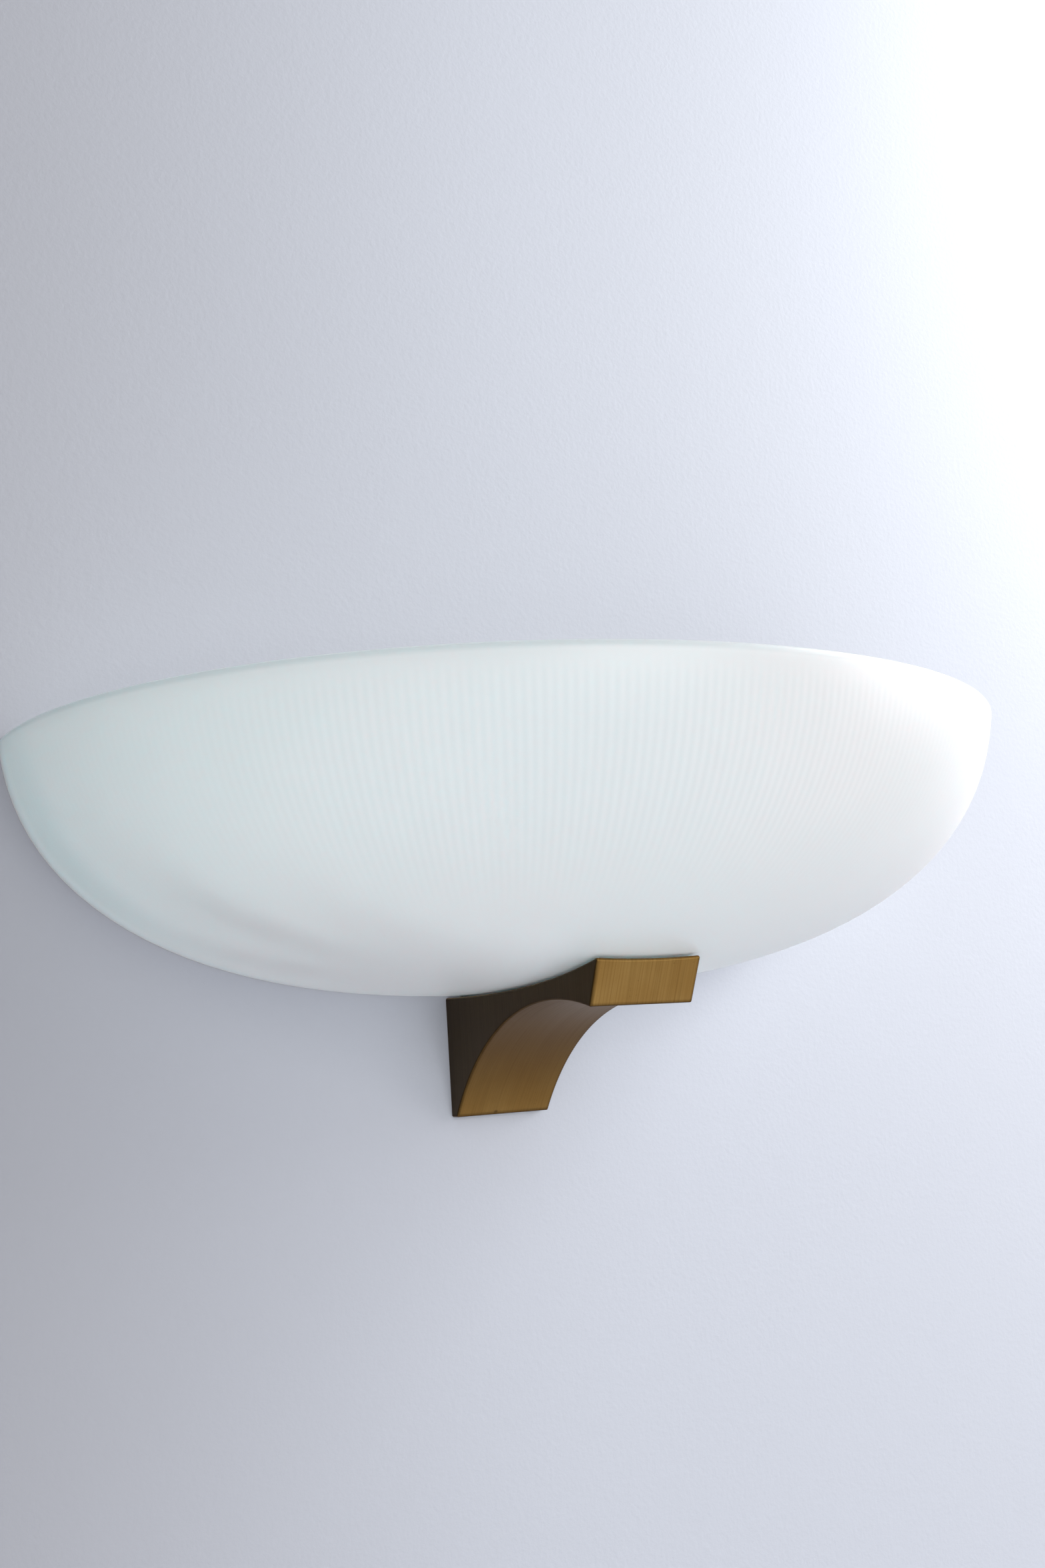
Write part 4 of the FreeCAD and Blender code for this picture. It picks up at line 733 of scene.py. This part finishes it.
# Piece, node, heads, direction, head radius, head height, shank radius and length, cross.
PAN_SCREWS = (
    (
        "carrier_pan_screws", "carrier_screws",
        [(0, -4.5, -8), (0, -4.5, -20)], TO_ROOM, 3.8, 2.4, (2.0, 4.4), True,
    ),
    (
        "reflector_pan_screws", "reflector_screws",
        [(0, -73, 7.8), (0, -83, 7.8)], UPWARDS, 3.8, 2.4, (2.0, 4.0), True,
    ),
    ("earth_pan_screw", "earth_screw", [(0, -32, 6.6)], UPWARDS, 3.8, 2.4, (2.0, 2.8), True),
    (
        "pole_clamp_screws", "terminal_screws",
        clamp_spots, TO_ROOM, 2.3, 1.8, (1.3, 2.0), False,
    ),
    (
        "block_pan_screws", "block_screws",
        [(-6, -14.1, 20.5), (6, -14.1, 20.5)], TO_ROOM, 2.3, 2.0, (1.3, 14.0), True,
    ),
)
for piece, node, *shape in PAN_SCREWS:
    stands_for(screws(piece, zinc, *shape), node)

outer_lead = [
    (-12, -9.5, 13), (-12, -9.5, 4.6), (-12, -78, 4.6),
    (-80, -78, 4.6), (-80, -78, 27), (-73.5, -78, 27),
]
mirrored_lead = [(-x, y, z) for x, y, z in outer_lead]
inner_lead = [(0, -9.5, 13), (0, -9.5, 7.7), (0, -26.5, 7.7)]
live = lead("live_sleeve", outer_lead, braided("brown_sleeve", (112, 74, 48)))
neutral = lead("neutral_sleeve", mirrored_lead, braided("blue_sleeve", (66, 98, 150)))
earth = lead("earth_sleeve", inner_lead, braided("green_sleeve", (72, 128, 58), (206, 190, 70)))
stands_for(live, "live_lead")
stands_for(neutral, "neutral_lead")
stands_for(earth, "earth_lead")


# ---------------------------------------------------------------- wall, floor, light, camera


def plane(name, corner_a, corner_b, normal_axis, material):
    """A flat stage sheet between two opposite corners."""
    form = bmesh.new()
    middle = (Vector(corner_a) + Vector(corner_b)) / 2
    spans = Vector(corner_b) - Vector(corner_a)
    bmesh.ops.create_grid(form, x_segments=1, y_segments=1, size=0.5)
    if normal_axis == "y":
        shape = Matrix.Translation(middle) @ Matrix.Rotation(math.radians(90), 4, "X")
        shape = shape @ Matrix.Diagonal((spans.x, spans.z, 1, 1))
    else:
        shape = Matrix.Translation(middle) @ Matrix.Diagonal((spans.x, spans.y, 1, 1))
    bmesh.ops.transform(form, matrix=shape, verts=form.verts)
    sheet = finished(name, form, material)


def wall_paint():
    """Matt emulsion put on with a roller, with painted light: darker to the left, paler to the
    right.

    Camera, glossy and transmission rays see it from its room side; all other light passes it.
    """
    paint = Finish("wall_paint", Roughness=0.75, Specular_IOR_Level=0.25)
    # Painted light: the paint runs from darker grey on the left to paler on the right, as light
    # falling from the right would.
    across = paint.axes()[0].between(-380.0, 60.0)
    paint.to("Base Color", paint.blend(across, colour(174, 172, 178), colour(205, 206, 215)))
    fine = paint.grain(420.0, detail=3.0, roughness=0.6)
    broad = paint.grain(60.0, detail=2.0)
    paint.bump(fine + broad * 0.5, 0.00035, 0.30)
    kinds = ("Is Camera Ray", "Is Glossy Ray", "Is Transmission Ray")
    camera_ray, glossy_ray, through_ray = (
        paint.node("ShaderNodeLightPath", output=kind) for kind in kinds
    )
    seen = camera_ray.math("MAXIMUM", glossy_ray).math("MAXIMUM", through_ray)
    front = 1 - paint.node("ShaderNodeNewGeometry", output="Backfacing")
    clear = paint.node("ShaderNodeBsdfTransparent")
    painted = Sock(paint, paint.shader.outputs[0])
    both = paint.node("ShaderNodeMixShader", None, {0: seen * front, 1: clear, 2: painted})
    output = paint.tree.nodes["Material Output"]
    paint.tree.links.new(both.socket, output.inputs["Surface"])
    return paint.material


def floor_paint():
    """Plain pale floor, below the picture."""
    floor = Finish("floor_paint", Roughness=0.8)
    floor.shader.inputs["Base Color"].default_value = colour(222, 222, 226)
    return floor.material


plane("wall", (-3, 0.0002, -0.6), (3, 0.0002, 3), "y", wall_paint())
plane("floor", (-3, -4, -0.6), (3, 3, -0.6), "z", floor_paint())


def lamp(name, place, aim, size, power, tint):
    """A rectangular lamp at a place, turned towards a point; size in metres, power in watts."""
    data = bpy.data.lights.new(name, "AREA")
    data.shape = "RECTANGLE"
    data.size, data.size_y = size
    data.energy = power
    data.color = tint
    light = bpy.data.objects.new(name, data)
    light.location = place
    light.rotation_euler = (Vector(aim) - Vector(place)).to_track_quat("-Z", "Y").to_euler()
    bpy.context.scene.collection.objects.link(light)


lamp("window", (0.95, -0.62, 0.34), (0.12, 0, 0.05), (0.6, 0.9), 5.3, (1.0, 0.97, 0.96))
lamp("curtain", (1.1, -0.25, 0.5), (0.2, 0, 0.2), (0.3, 0.6), 8.5, (0.92, 0.98, 1.0))
lamp("skylight", (0.9, -0.15, 0.7), (0.2, 0, 0.2), (0.2, 0.5), 6.3, (0.90, 0.98, 1.0))
lamp("room", (0.0, -2.2, 0.1), (0, 0, 0), (1.2, 1.2), 18.3, (0.96, 1.0, 1.0))
lamp("fill", (-0.9, -1.6, -0.4), (0, 0, 0), (1.0, 0.8), 3.0, (0.95, 1.0, 1.0))
lamp("behind", (0.6, 1.9, 0.5), (0, 0, 0), (1.4, 1.4), 6.0, (0.98, 0.99, 1.0))

world = bpy.data.worlds.new("studio")
world.use_nodes = True
world.node_tree.nodes["Background"].inputs["Color"].default_value = (0.86, 0.88, 0.93, 1)
world.node_tree.nodes["Background"].inputs["Strength"].default_value = 0.20
bpy.context.scene.world = world

level_share = math.cos(PITCH)
forward = Vector((math.sin(YAW) * level_share, math.cos(YAW) * level_share, math.sin(PITCH)))
level = forward.cross(Vector((0, 0, 1))).normalized()
upright = level.cross(forward)
right = level * math.cos(ROLL) + upright * math.sin(ROLL)
top = upright * math.cos(ROLL) - level * math.sin(ROLL)
camera_data = bpy.data.cameras.new("camera")
camera_data.lens = LENS
camera_data.sensor_width = 36.0
camera_data.clip_start = 0.01
camera = bpy.data.objects.new("camera", camera_data)
turn = Matrix((right, top, -forward)).transposed()
camera.matrix_world = Matrix.Translation(CAMERA_AT) @ turn.to_4x4()
bpy.context.scene.collection.objects.link(camera)
bpy.context.scene.camera = camera
bpy.context.scene.view_settings.view_transform = "Standard"
